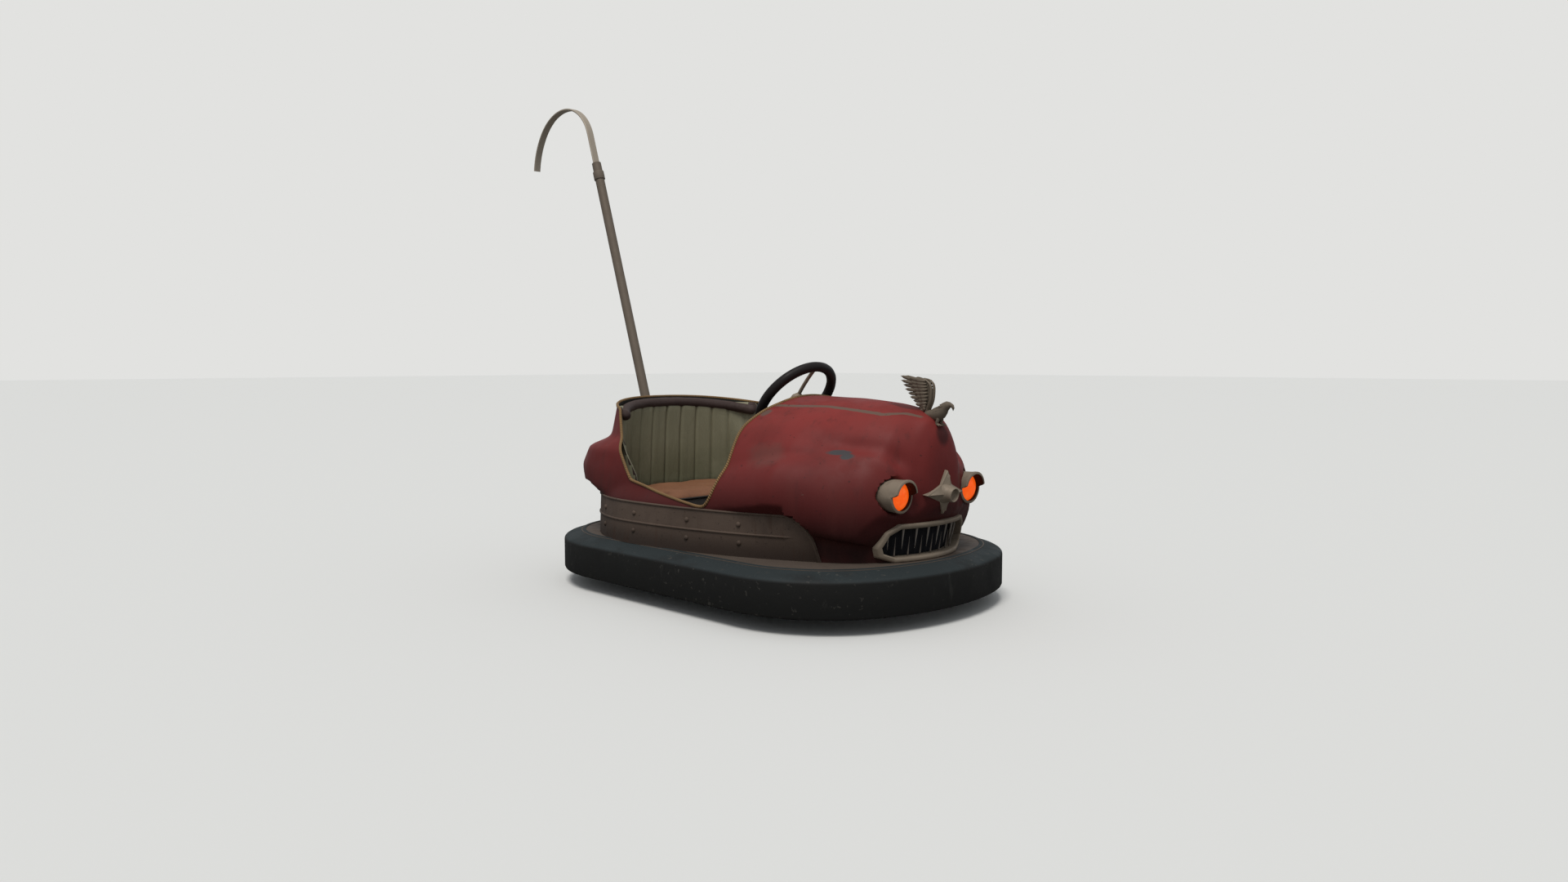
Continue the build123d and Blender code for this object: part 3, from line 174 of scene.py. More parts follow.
class Finish:
    """One node material, built up from the base colour by layers."""

    def __init__(self, name, colour, rough, metal=0.0):
        self.material = bpy.data.materials.new(name)
        self.material.use_nodes = True
        self.tree = self.material.node_tree
        self.shader = next(n for n in self.tree.nodes if n.type == "BSDF_PRINCIPLED")
        self.shader.inputs["Base Color"].default_value = colour
        self.shader.inputs["Roughness"].default_value = rough
        self.shader.inputs["Metallic"].default_value = metal
        self.shader.inputs["Specular IOR Level"].default_value = 0.22
        self.colour = None
        self.start = colour
        self.rough = None
        self.start_rough = rough
        self.height = None

    def node(self, kind, **settings):
        """A new node with its settings and inputs filled in."""
        made = self.tree.nodes.new("ShaderNode" + kind)
        for key, value in settings.items():
            if key.startswith("in_"):
                self.feed(made.inputs[int(key[3:])], value)
            else:
                setattr(made, key, value)
        return made

    def feed(self, socket, value):
        """Links a socket or sets a plain value."""
        if isinstance(value, bpy.types.NodeSocket):
            self.tree.links.new(value, socket)
        else:
            socket.default_value = value

    def place(self):
        """The piece's own coordinates, which are metres in the car's frame."""
        return self.node("TexCoord").outputs["Object"]

    def axis(self, which):
        """One coordinate, x, y or z."""
        return self.node("SeparateXYZ", in_0=self.place()).outputs["xyz".index(which)]

    def upward(self):
        """How far the surface faces up, from -1 to 1."""
        return self.node("SeparateXYZ", in_0=self.node("NewGeometry").outputs["Normal"]).outputs[2]

    def math(self, operation, first, second=0.0, third=0.0, clamp=False):
        """One sum on sockets or numbers."""
        return self.node(
            "Math", operation=operation, use_clamp=clamp, in_0=first, in_1=second, in_2=third
        ).outputs[0]

    def noise(self, scale, detail=4.0, rough=0.55, stretch=(1, 1, 1), shift=(0, 0, 0), bend=0.0):
        """Smooth random values from 0 to 1, stretched along the axes."""
        spread = self.node("Mapping", in_0=self.place())
        spread.inputs["Location"].default_value = shift
        spread.inputs["Scale"].default_value = stretch
        made = self.node("TexNoise", in_0=spread.outputs[0])
        made.inputs["Scale"].default_value = scale
        made.inputs["Detail"].default_value = detail
        made.inputs["Roughness"].default_value = rough
        made.inputs["Distortion"].default_value = bend
        return made.outputs[0]

    def step(self, value, low, high):
        """0 at low, 1 at high, smooth between; low may be the larger."""
        if low > high:
            return self.math("SUBTRACT", 1.0, self.step(value, high, low))
        made = self.node("MapRange", interpolation_type="SMOOTHSTEP", in_0=value, in_1=low, in_2=high)
        return made.outputs[0]

    def ramp(self, value, low, high, first, last):
        """A straight change from first to last as value goes from low to high."""
        return self.node("MapRange", in_0=value, in_1=low, in_2=high, in_3=first, in_4=last).outputs[0]

    def both(self, *masks):
        """Where all the masks are."""
        mask = masks[0]
        for other in masks[1:]:
            mask = self.math("MULTIPLY", mask, other)
        return mask

    def spot(self, centre, size, soft=0.5, wobble=0.6, scale=14.0):
        """1 inside a soft ellipsoid round centre, its edge broken by noise."""
        where = self.node("VectorMath", operation="SUBTRACT", in_0=self.place(), in_1=centre)
        share = self.node("VectorMath", operation="DIVIDE", in_0=where.outputs[0], in_1=size)
        far = self.node("VectorMath", operation="LENGTH", in_0=share.outputs[0]).outputs["Value"]
        far = self.math("MULTIPLY_ADD", self.math("SUBTRACT", self.noise(scale), 0.5), wobble, far)
        return self.step(far, 1.0, 1.0 - soft)

    def tint(self, mask, colour, strength=1.0, mode="MIX"):
        """Lays a colour over what is there, by the mask."""
        made = self.node("Mix", data_type="RGBA", blend_type=mode, clamp_factor=True)
        under = self.start if self.colour is None else self.colour
        self.feed(made.inputs[0], self.math("MULTIPLY", mask, strength))
        self.feed(made.inputs[6], under)
        self.feed(made.inputs[7], colour)
        self.colour = made.outputs[2]

    def gloss(self, mask, rough):
        """Changes the roughness by the mask."""
        made = self.node("Mix", data_type="FLOAT", clamp_factor=True)
        self.feed(made.inputs[0], mask)
        self.feed(made.inputs[2], self.start_rough if self.rough is None else self.rough)
        self.feed(made.inputs[3], rough)
        self.rough = made.outputs[0]

    def raise_by(self, value, amount):
        """Adds value times amount, in metres, to the surface's height."""
        part = self.math("MULTIPLY", value, amount)
        self.height = part if self.height is None else self.math("ADD", self.height, part)

    def done(self, strength=1.0):
        """Links the layers to the shader and gives the material."""
        if self.colour is not None:
            self.feed(self.shader.inputs["Base Color"], self.colour)
        if self.rough is not None:
            self.feed(self.shader.inputs["Roughness"], self.rough)
        if self.height is not None:
            bump = self.node("Bump")
            bump.inputs["Strength"].default_value = strength
            bump.inputs["Distance"].default_value = 1.0
            self.feed(bump.inputs["Height"], self.height)
            self.feed(self.shader.inputs["Normal"], bump.outputs[0])
        return self.material


def edge_wear(finish, width, colour, strength=0.8):
    """Bare material along the sharp edges, broken by noise."""
    rounded = finish.node("Bevel", samples=6)
    rounded.inputs["Radius"].default_value = width
    flat = finish.node("NewGeometry").outputs["Normal"]
    turned = finish.node("VectorMath", operation="DOT_PRODUCT", in_0=rounded.outputs[0], in_1=flat)
    edge = finish.math("SUBTRACT", 1.0, turned.outputs["Value"])
    sharp = finish.step(edge, 0.02, 0.2)
    broken = finish.step(finish.noise(60), 0.35, 0.6)
    finish.tint(finish.both(sharp, broken), colour, strength)


def crest_stripes(f):
    """The two bare stripes along the bonnet's ridges, from the cockpit to the bird."""
    x = f.axis("x")
    line = f.math("ADD", f.ramp(x, 0.20, 0.68, 0.206, 0.126), f.ramp(x, 0.68, 0.81, 0.0, -0.080))
    off = f.math("ABSOLUTE", f.math("SUBTRACT", f.math("ABSOLUTE", f.axis("y")), line))
    off = f.math("MULTIPLY_ADD", f.math("SUBTRACT", f.noise(45, 4), 0.5), 0.008, off)
    width = f.ramp(x, 0.2, 0.8, 0.012, 0.007)
    mask = f.step(f.math("DIVIDE", off, width), 1.15, 0.8)
    return f.both(mask, f.step(f.axis("z"), 0.69, 0.705), f.step(x, 0.815, 0.80), f.step(x, 0.10, 0.12))


def red_paint():
    """Old dark red enamel: painted shade darker towards the deck, a painted highlight where faces turn up
    high on the body, worn along the ridges and in patches.
    """
    f = Finish("red_paint", linear(118, 42, 40), 0.5)
    # Painted shade: darker towards the deck
    f.tint(f.step(f.axis("z"), 0.62, 0.25), linear(34, 15, 15), 0.95)
    # Painted highlight: paler where the surface faces up, high on the body
    f.tint(f.both(f.step(f.upward(), 0.25, 0.95), f.step(f.axis("z"), 0.5, 0.75)), linear(146, 54, 50), 0.8)
    f.tint(f.step(f.noise(3.2, 6, 0.6), 0.42, 0.72), linear(84, 29, 28), 0.45)
    f.tint(f.step(f.noise(1.4, 5, 0.6, (3, 3, 0.7)), 0.5, 0.75), linear(104, 54, 47), 0.25)
    # Long faint streaks where rain and hands have run down the sides
    f.tint(f.step(f.noise(22, 4, 0.6, (1, 1, 0.08)), 0.55, 0.72), linear(70, 34, 31), 0.3)
    # Painted shade low on the body near the deck, broken by noise; painted shadow under the bird and under
    # the star; and a darker streak along the bonnet's crown behind the bird
    # Painted shade near the deck, broken by noise
    f.tint(f.both(f.step(f.axis("z"), 0.36, 0.22), f.step(f.noise(9), 0.3, 0.7)), linear(36, 22, 20), 0.8)
    # Painted shadow under the bird
    f.tint(f.spot((0.868, 0.0, 0.675), (0.04, 0.045, 0.05), 0.5, 0.4), linear(60, 22, 22), 0.85)
    # Painted shadow under the star
    f.tint(f.spot((0.868, 0.0, 0.385), (0.05, 0.10, 0.045), 0.5, 0.4), linear(66, 20, 20), 0.85)
    f.tint(f.spot((0.71, -0.02, 0.775), (0.10, 0.035, 0.03), 0.5, 0.5), linear(74, 28, 27), 0.75)
    # Worn through to grey and to an older teal coat
    grey = linear(98, 80, 72)
    f.tint(crest_stripes(f), linear(108, 90, 78), 0.9)
    f.tint(f.spot((0.372, -0.405, 0.58), (0.11, 0.07, 0.12), 0.7, 0.9, 16), grey, 0.32)
    teal = f.math(
        "MAXIMUM",
        f.spot((0.630, -0.31, 0.612), (0.050, 0.09, 0.011), 0.4, 0.7, 26),
        f.spot((0.665, -0.30, 0.599), (0.030, 0.09, 0.013), 0.4, 0.7, 26),
    )
    f.tint(teal, linear(64, 72, 74), 0.9)
    f.tint(f.spot((0.222, -0.24, 0.735), (0.028, 0.06, 0.018), 0.3, 0.6, 30), grey, 0.9)
    # Specks and chips
    f.tint(f.step(f.noise(55, 3, 0.6), 0.67, 0.72), linear(58, 30, 28), 0.6)
    f.tint(f.both(f.step(f.noise(34, 5, 0.7), 0.68, 0.71), f.step(f.noise(3), 0.5, 0.6)), grey, 0.7)
    f.gloss(f.step(f.noise(7, 5), 0.35, 0.7), 0.68)
    f.raise_by(f.noise(120, 3), 0.0004)
    f.raise_by(f.noise(7, 2), 0.003)
    return f.done(0.5)


def rubber(name, dark, dust_and_highlight, top=0.9):
    """Black rubber, paler where it faces up, partly dust and partly painted highlight; scuffed and stained.
    """
    f = Finish(name, dark, 0.78)
    # Paler where it faces up: partly dust, partly painted highlight
    f.tint(f.step(f.upward(), 0.2, 0.85), dust_and_highlight, top)
    f.tint(f.step(f.noise(5, 6, 0.6, (1, 1, 3)), 0.5, 0.75), linear(32, 31, 30), 0.6)
    f.tint(f.step(f.noise(26, 5, 0.62, (1, 1, 0.4)), 0.6, 0.72), linear(64, 63, 60), 0.35)
    f.tint(f.both(f.step(f.noise(48, 3), 0.64, 0.68), f.step(f.noise(4), 0.45, 0.6)), linear(96, 92, 86), 0.4)
    f.gloss(f.step(f.noise(8), 0.4, 0.6), 0.62)
    f.raise_by(f.noise(180, 3), 0.0005)
    f.raise_by(f.noise(14, 4), 0.003)
    return f.done(0.6)


def cast_metal(name, colour, pit, rough=0.62, metal=0.2, stain=None, patchy=0.4):
    """Dull cast or pressed metal with pits, stains and worn edges."""
    f = Finish(name, colour, rough, metal)
    dark, pale = shaded(colour, 0.5), shaded(colour, 1.45)
    f.tint(f.step(f.noise(5, 6, 0.62), 0.45, 0.75), stain or dark, patchy)
    f.tint(f.step(f.noise(36, 5, 0.6), 0.55, 0.72), dark, patchy * 0.7)
    edge_wear(f, 0.0025, pale, 0.55)
    f.gloss(f.step(f.noise(20), 0.4, 0.65), min(1, rough + 0.15))
    f.raise_by(f.noise(150, 4), pit)
    return f.done(0.6)


def band_plate():
    """Brown pressed sheet: painted shade near its foot by the deck, rust round the rivets and in runs below
    them.
    """
    f = Finish("band_metal", linear(100, 85, 75), 0.6, 0.15)
    # Painted shade: darker towards the foot, by the deck
    f.tint(f.step(f.axis("z"), 0.33, 0.225), linear(52, 42, 37), 0.85)
    f.tint(f.step(f.noise(4, 6, 0.62), 0.42, 0.75), linear(62, 50, 44), 0.5)
    f.tint(f.step(f.noise(30, 4, 0.6, (1, 1, 0.12)), 0.54, 0.7), linear(70, 46, 34), 0.4)
    f.tint(f.step(f.noise(70, 4, 0.6), 0.62, 0.7), linear(44, 34, 30), 0.6)
    edge_wear(f, 0.003, linear(126, 110, 98), 0.5)
    f.gloss(f.step(f.noise(20), 0.4, 0.65), 0.74)
    f.raise_by(f.noise(150, 4), 0.0005)
    f.raise_by(f.noise(9, 2), 0.003)
    return f.done(0.6)


def leather(name, colour, worn, grain=320.0, low=None):
    """Seat vinyl: fine grain, creases and a shine where it is sat on."""
    f = Finish(name, colour, 0.55)
    # Painted shade: the low colour darkens the pad lower down, towards the cushion
    if low:
        f.tint(f.step(f.axis("z"), 0.66, 0.40), low, 0.8)
    f.tint(f.step(f.noise(4, 5, 0.6), 0.42, 0.72), worn, 0.5)
    f.tint(f.step(f.noise(11, 6, 0.65, bend=0.6), 0.55, 0.75), shaded(colour, 0.55), 0.35)
    f.tint(f.step(f.noise(30, 3, 0.6, (1, 1, 0.06)), 0.56, 0.7), shaded(colour, 0.6), 0.25)
    cells = f.node("TexVoronoi", feature="DISTANCE_TO_EDGE", in_0=f.place())
    cells.inputs["Scale"].default_value = grain
    f.raise_by(f.step(cells.outputs[0], 0.0, 0.25), 0.0004)
    creases = f.math("ABSOLUTE", f.math("SUBTRACT", f.noise(16, 5, 0.6, bend=1.2), 0.5))
    f.raise_by(f.step(creases, 0.0, 0.03), 0.0006)
    f.gloss(f.step(f.noise(6), 0.35, 0.7), 0.44)
    return f


def twisted_cord():
    """Gilt edging cord, its twist taken from the run of the bead."""
    f = Finish("edging_cord", linear(150, 118, 78), 0.5, 0.1)
    run = f.node("SeparateXYZ", in_0=f.node("UVMap", uv_map="run").outputs[0])
    turn = f.math("ADD", f.math("DIVIDE", run.outputs[0], 0.009), run.outputs[1])
    strand = f.math("SINE", f.math("MULTIPLY", turn, 2 * pi))
    # Painted shade in the grooves between the strands
    f.tint(f.step(strand, -0.2, -0.9), linear(84, 62, 40), 0.7)
    f.tint(f.step(f.noise(6, 5), 0.45, 0.7), linear(116, 92, 64), 0.6)
    f.tint(f.step(f.noise(40, 4), 0.6, 0.7), linear(66, 50, 38), 0.5)
    f.raise_by(strand, 0.0009)
    return f.done(0.9)


def amber_glass():
    """Orange lamp glass, lit from behind, mottled and crossed by pressed ribs."""
    f = Finish("amber_lens", linear(214, 84, 22), 0.2)
    f.tint(f.step(f.noise(30, 4, 0.6), 0.42, 0.66), linear(252, 168, 70), 0.6)
    f.tint(f.step(f.noise(18, 4, 0.6, shift=(3, 1, 2)), 0.55, 0.7), linear(150, 46, 18), 0.6)
    f.shader.inputs["Emission Color"].default_value = linear(255, 92, 18)
    f.shader.inputs["Emission Strength"].default_value = 0.75
    f.shader.inputs["Coat Weight"].default_value = 0.5
    f.shader.inputs["Coat Roughness"].default_value = 0.1
    f.raise_by(f.noise(60, 3), 0.001)
    return f.done(0.6)


def make_materials():
    """One finish for each slot of the record, and four more for parts of pieces."""
    return {
        "ring_rubber": rubber("ring_rubber", linear(30, 30, 29), linear(47, 54, 56)),
        "frame_steel": cast_metal("frame_steel", linear(62, 60, 58), 0.0006, 0.7, 0.4, linear(84, 50, 32)),
        "deck_metal": cast_metal("deck_metal", linear(96, 85, 77), 0.0005, 0.6, 0.2),
        "red_paint": red_paint(),
        "band_metal": band_plate(),
        "worn_trim": cast_metal("worn_trim", linear(148, 134, 118), 0.0003, 0.52, 0.2),
        "tooth_metal": cast_metal("tooth_metal", linear(158, 150, 142), 0.0003, 0.5, 0.2),
        "dark_panel": cast_metal("dark_panel", linear(30, 30, 34), 0.0004, 0.8, 0.0),
        "amber_lens": amber_glass(),
        "bird_metal": cast_metal("bird_metal", linear(124, 112, 98), 0.0004, 0.58, 0.2),
        "tan_leather": leather("tan_leather", linear(140, 96, 70), linear(158, 112, 84)).done(0.8),
        # The olive back's low colour is painted shade towards the cushion
        "olive_leather": leather(
            "olive_leather", linear(148, 144, 119), linear(160, 156, 132), low=linear(112, 113, 89)
        ).done(0.8),
        "roll_leather": leather("roll_leather", linear(70, 55, 52), linear(86, 70, 66)).done(0.8),
        "pole_metal": cast_metal("pole_metal", linear(126, 114, 102), 0.0003, 0.55, 0.2, patchy=0.2),
        "hook_metal": cast_metal("hook_metal", linear(186, 174, 158), 0.0002, 0.48, 0.2, patchy=0.15),
        "wheel_plastic": cast_metal("wheel_plastic", linear(36, 31, 31), 0.0002, 0.42, 0.0, patchy=0.25),
        "motor_iron": cast_metal("motor_iron", linear(66, 70, 66), 0.0008, 0.6, 0.4),
        "wheel_metal": cast_metal("wheel_metal", linear(110, 106, 100), 0.0005, 0.5, 0.6),
        "tyre_rubber": rubber("tyre_rubber", linear(40, 39, 38), linear(60, 60, 58), 0.4),
        "edging_cord": twisted_cord(),
        "dark_tooth": cast_metal("dark_tooth", linear(122, 113, 106), 0.0003, 0.55, 0.2),
        "lamp_inside": cast_metal("lamp_inside", linear(34, 31, 29), 0.0003, 0.7, 0.0),
        "dark_boxing": leather("dark_boxing", linear(54, 50, 47), linear(70, 66, 62)).done(0.8),
    }


def dress_nodes():
    """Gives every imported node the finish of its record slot."""
    for part in frame["record"]["subparts"]:
        piece = nodes[part["node"]]
        piece.data.materials.clear()
        piece.data.materials.append(finishes[part["material_slot"]])


# Mesh helpers


def held(value, low=0.0, high=1.0):
    """A value kept between two limits."""
    return max(low, min(high, value))


def run_lengths(points):
    """How far along a path each of its points lies."""
    lengths = [0.0]
    for a, b in zip(points, points[1:]):
        lengths.append(lengths[-1] + (Vector(b) - Vector(a)).length)
    return lengths


def neighbours(path, i):
    """The points before and after one, or that point itself at an end."""
    return path[max(i - 1, 0)], path[min(i + 1, len(path) - 1)]


def new_piece(name, points, faces, finish, smooth=True):
    """A mesh object made of points and faces."""
    mesh = bpy.data.meshes.new(name)
    mesh.from_pydata([tuple(p) for p in points], [], faces)
    mesh.validate()
    mesh.update()
    piece = bpy.data.objects.new(name, mesh)
    scene.collection.objects.link(piece)
    if finish:
        mesh.materials.append(finishes[finish])
    if smooth:
        mesh.shade_smooth()
    return piece


def face_outwards(piece, merge=1e-6):
    """Merges doubles and turns every face outwards."""
    work = bmesh.new()
    work.from_mesh(piece.data)
    bmesh.ops.remove_doubles(work, verts=work.verts, dist=merge)
    bmesh.ops.recalc_face_normals(work, faces=work.faces)
    work.to_mesh(piece.data)
    work.free()
    piece.data.update()


def skin(name, rows, finish=None, ring=False, around=True, caps=True, run=False, smooth=True):
    """A skin over rows of equally many points: around closes each row, ring closes the run of rows."""
    count = len(rows[0])
    points = [p for row in rows for p in row]
    faces = []
    marks = []
    spans = len(rows) if ring else len(rows) - 1
    steps = count if around else count - 1
    travel = run_lengths([row[0] for row in (*rows, rows[0])])
    for row in range(spans):
        after_row = (row + 1) % len(rows)
        for step in range(steps):
            after = (step + 1) % count
            here, there = row * count, after_row * count
            faces.append((here + step, here + after, there + after, there + step))
            low, high = step / count, (step + 1) / count
            start, end = travel[row], travel[row + 1]
            marks.extend(((start, low), (start, high), (end, high), (end, low)))
    if caps and around and not ring:
        for base in (0, (len(rows) - 1) * count):
            faces.append(tuple(range(base, base + count)))
            marks.extend([(0, 0)] * count)
    piece = new_piece(name, points, faces, finish, smooth)
    if run:
        layer = piece.data.uv_layers.new(name="run")
        layer.data.foreach_set("uv", [v for mark in marks for v in mark])
    face_outwards(piece)
    return piece


def bake(piece):
    """Applies the modifiers of a piece to its mesh."""
    graph = bpy.context.evaluated_depsgraph_get()
    graph.update()
    mesh = bpy.data.meshes.new_from_object(piece.evaluated_get(graph), depsgraph=graph)
    piece.modifiers.clear()
    piece.data = mesh
    return piece


def join(name, pieces, smooth=True):
    """Several mesh objects as one new mesh object; the old ones are removed."""
    mesh = bpy.data.meshes.new(name)
    kinds = []
    for piece in pieces:
        for material in piece.data.materials:
            if material not in kinds:
                kinds.append(material)
    work = bmesh.new()
    for piece in pieces:
        first = len(work.faces)
        work.from_mesh(piece.data)
        work.faces.ensure_lookup_table()
        places = [kinds.index(material) for material in piece.data.materials]
        if places:
            for face in work.faces[first:]:
                face.material_index = places[min(face.material_index, len(places) - 1)]
        bpy.data.objects.remove(piece)
    work.to_mesh(mesh)
    work.free()
    for material in kinds:
        mesh.materials.append(material)
    made = bpy.data.objects.new(name, mesh)
    scene.collection.objects.link(made)
    if smooth:
        mesh.shade_smooth()
    return made


def give_wall(piece, thickness, inside=0):
    """Gives an open skin a wall on its inner side."""
    wall = piece.modifiers.new("wall", "SOLIDIFY")
    wall.thickness = thickness
    wall.offset = -1
    wall.material_offset = inside
    wall.material_offset_rim = 0
    return bake(piece)


def face_away(piece, centre):
    """Turns an open skin so that it faces away from a point."""
    faces = piece.data.polygons
    score = sum((f.center - Vector(centre)).normalized().dot(f.normal) * f.area for f in faces)
    if score < 0:
        piece.data.flip_normals()


def soften_by_angle(piece, degrees_limit=35):
    """Smooth shading that keeps edges sharper than the limit."""
    piece.data.shade_smooth()
    piece.data.set_sharp_from_angle(angle=radians(degrees_limit))


def finish_piece(piece, body="car", stands_for=()):
    """Attaches a finished piece to the body it rides on and hides the nodes it stands for."""
    if stands_for:
        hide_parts(*stands_for)
    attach(piece, body)
    return piece


def even_path(points, spacing, cyclic=False, count=None):
    """A path resampled to even spacing, or else to count steps."""
    run = [Vector(p) for p in points]
    if cyclic:
        run.append(run[0])
    lengths = run_lengths(run)
    count = count or max(8, int(lengths[-1] / spacing))
    places = np.linspace(0, lengths[-1], count + 1)
    made = [np.interp(places, lengths, [p[i] for p in run]) for i in range(len(run[0]))]
    path = [Vector(p) for p in zip(*made)]
    return path[:-1] if cyclic else path


def relaxed(path, passes, cyclic=False):
    """A path with its corners eased by averaging neighbours."""
    for _ in range(passes):
        eased = [(path[i - 1] + 2 * p + path[(i + 1) % len(path)]) / 4 for i, p in enumerate(path)]
        path = eased if cyclic else [path[0], *eased[1:-1], path[-1]]
    return path


def curve_through(points, steps=8):
    """A smooth path through every point."""
    run = [Vector(p) for p in points]
    run = [2 * run[0] - run[1], *run, 2 * run[-1] - run[-2]]
    made = []
    for a, b, c, d in zip(run, run[1:], run[2:], run[3:]):
        for i in range(steps):
            t = i / steps
            bend = (2 * a - 5 * b + 4 * c - d) * t * t + (3 * b - a - 3 * c + d) * t**3
            made.append(0.5 * (2 * b + (c - a) * t + bend))
    return made + [run[-2]]


def sweep(name, path, section, finish, cyclic=False, across=None, caps=True, run=False):
    """A section carried along a path; section gives (across, up) points for a share of the run."""
    rows = []
    count = len(path)
    last = None
    for i, place in enumerate(path):
        before = path[i - 1] if i or cyclic else place
        after = path[(i + 1) % count] if i < count - 1 or cyclic else place
        ahead = (after - before).normalized()
        if across is not None:
            side = Vector(across)
        elif last is None:
            side = Vector((0, 0, 1)) if abs(ahead.z) < 0.9 else Vector((0, 1, 0))
        else:
            side = last
        side = (side - ahead * side.dot(ahead)).normalized()
        last = side
        up = ahead.cross(side)
        rows.append([place + side * a + up * b for a, b in section(i / (count - 1))])
    return skin(name, rows, finish, ring=cyclic, caps=caps, run=run)


def circle(radius, count=12):
    """A round section."""
    return [(radius * cos(2 * pi * i / count), radius * sin(2 * pi * i / count)) for i in range(count)]


def turned(name, profile, place, axis, finish, count=32):
    """A turned piece: profile of (along, radius) points spun round an axis; closed where it meets it."""
    axis = Vector(axis).normalized()
    side = axis.orthogonal().normalized()
    up = axis.cross(side)
    rows = []
    for along, radius in profile:
        centre = Vector(place) + axis * along
        reach = max(radius, 1e-5)
        rows.append([centre + side * (reach * a) + up * (reach * b) for a, b in circle(1, count)])
    piece = skin(name, rows, finish, caps=False)
    face_outwards(piece, 3e-5)
    return piece


def scatter_tree(name, shape, finish):
    """Geometry nodes that put one small shape at every point, turned and sized by the point's own values."""
    tree = bpy.data.node_groups.new(name, "GeometryNodeTree")
    for label, kind in (("Places", "Geometry"), ("Width", "Float"), ("Height", "Float")):
        tree.interface.new_socket(label, in_out="INPUT", socket_type="NodeSocket" + kind)
    tree.interface.new_socket("Result", in_out="OUTPUT", socket_type="NodeSocketGeometry")
    make = tree.nodes.new
    link = tree.links.new
    start, end = make("NodeGroupInput"), make("NodeGroupOutput")
    points = make("GeometryNodeMeshToPoints")
    place = make("GeometryNodeInstanceOnPoints")
    turn = make("GeometryNodeInputNamedAttribute")
    turn.data_type = "FLOAT_VECTOR"
    turn.inputs["Name"].default_value = "turn"
    as_turn = make("FunctionNodeEulerToRotation")
    sized = make("ShaderNodeCombineXYZ")
    real = make("GeometryNodeRealizeInstances")
    smooth = make("GeometryNodeSetShadeSmooth")
    paint = make("GeometryNodeSetMaterial")
    paint.inputs["Material"].default_value = finishes[finish]
    if shape == "dome":
        one = make("GeometryNodeMeshUVSphere")
        settings = {"Segments": 16, "Rings": 8, "Radius": 1}
    else:
        one = make("GeometryNodeMeshCone")
        settings = {"Vertices": 8, "Side Segments": 5, "Radius Top": 0.12, "Radius Bottom": 1, "Depth": 1}
    for key, value in settings.items():
        one.inputs[key].default_value = value
    link(start.outputs["Places"], points.inputs["Mesh"])
    link(points.outputs[0], place.inputs["Points"])
    link(one.outputs["Mesh"], place.inputs["Instance"])
    link(turn.outputs["Attribute"], as_turn.inputs[0])
    link(as_turn.outputs[0], place.inputs["Rotation"])
    for slot, label in enumerate(("Width", "Width", "Height")):
        link(start.outputs[label], sized.inputs[slot])
    link(sized.outputs[0], place.inputs["Scale"])
    for before, after in ((place, real), (real, smooth), (smooth, paint), (paint, end)):
        link(before.outputs[0], after.inputs[0])
    return tree


def scatter(name, shape, finish, places, width, height):
    """A piece made of one shape at each (point, outward direction)."""
    mesh = bpy.data.meshes.new(name)
    mesh.from_pydata([tuple(p) for p, _ in places], [], [])
    turns = mesh.attributes.new("turn", "FLOAT_VECTOR", "POINT")
    for slot, (_, away) in zip(turns.data, places):
        slot.vector = Vector(away).to_track_quat("Z", "Y").to_euler()
    piece = bpy.data.objects.new(name, mesh)
    scene.collection.objects.link(piece)
    tree = scatter_tree(name + "_tree", shape, finish)
    modifier = piece.modifiers.new("scatter", "NODES")
    modifier.node_group = tree
    for socket in tree.interface.items_tree:
        if socket.in_out == "INPUT" and socket.name in ("Width", "Height"):
            modifier[socket.identifier] = width if socket.name == "Width" else height
    bake(piece)
    face_outwards(piece)
    return piece


# Body: the outer forms, melted together, then cut and given a wall


def arc_through(start, middle, end, count):
    """Points on the circle through three points, from start to end."""
    ax, ay = start
    bx, by = middle
    cx, cy = end
    turn = 2 * (ax * (by - cy) + bx * (cy - ay) + cx * (ay - by))
    squares = (ax * ax + ay * ay, bx * bx + by * by, cx * cx + cy * cy)
    mid_x = (squares[0] * (by - cy) + squares[1] * (cy - ay) + squares[2] * (ay - by)) / turn
    mid_y = (squares[0] * (cx - bx) + squares[1] * (ax - cx) + squares[2] * (bx - ax)) / turn
    radius = hypot(ax - mid_x, ay - mid_y)
    first = atan2(ay - mid_y, ax - mid_x)
    sweep_by = (atan2(cy - mid_y, cx - mid_x) - first) % (2 * pi)
    half_way = (atan2(by - mid_y, bx - mid_x) - first) % (2 * pi)
    if half_way > sweep_by:
        sweep_by -= 2 * pi
    turns = [first + sweep_by * i / count for i in range(count + 1)]
    return [(mid_x + radius * cos(turn), mid_y + radius * sin(turn)) for turn in turns]


def arc_leaving(start, heading, end, count):
    """Points on the circle that leaves start along heading and reaches end."""
    across = (-heading[1], heading[0])
    gap = (end[0] - start[0], end[1] - start[1])
    radius = (gap[0] ** 2 + gap[1] ** 2) / (2 * (across[0] * gap[0] + across[1] * gap[1]))
    centre = (start[0] + across[0] * radius, start[1] + across[1] * radius)
    first = atan2(start[1] - centre[1], start[0] - centre[0])
    sweep_by = atan2(end[1] - centre[1], end[0] - centre[0]) - first
    sweep_by = (sweep_by + pi) % (2 * pi) - pi
    reach = abs(radius)
    turns = [first + sweep_by * i / count for i in range(count + 1)]
    return [(centre[0] + reach * cos(turn), centre[1] + reach * sin(turn)) for turn in turns]


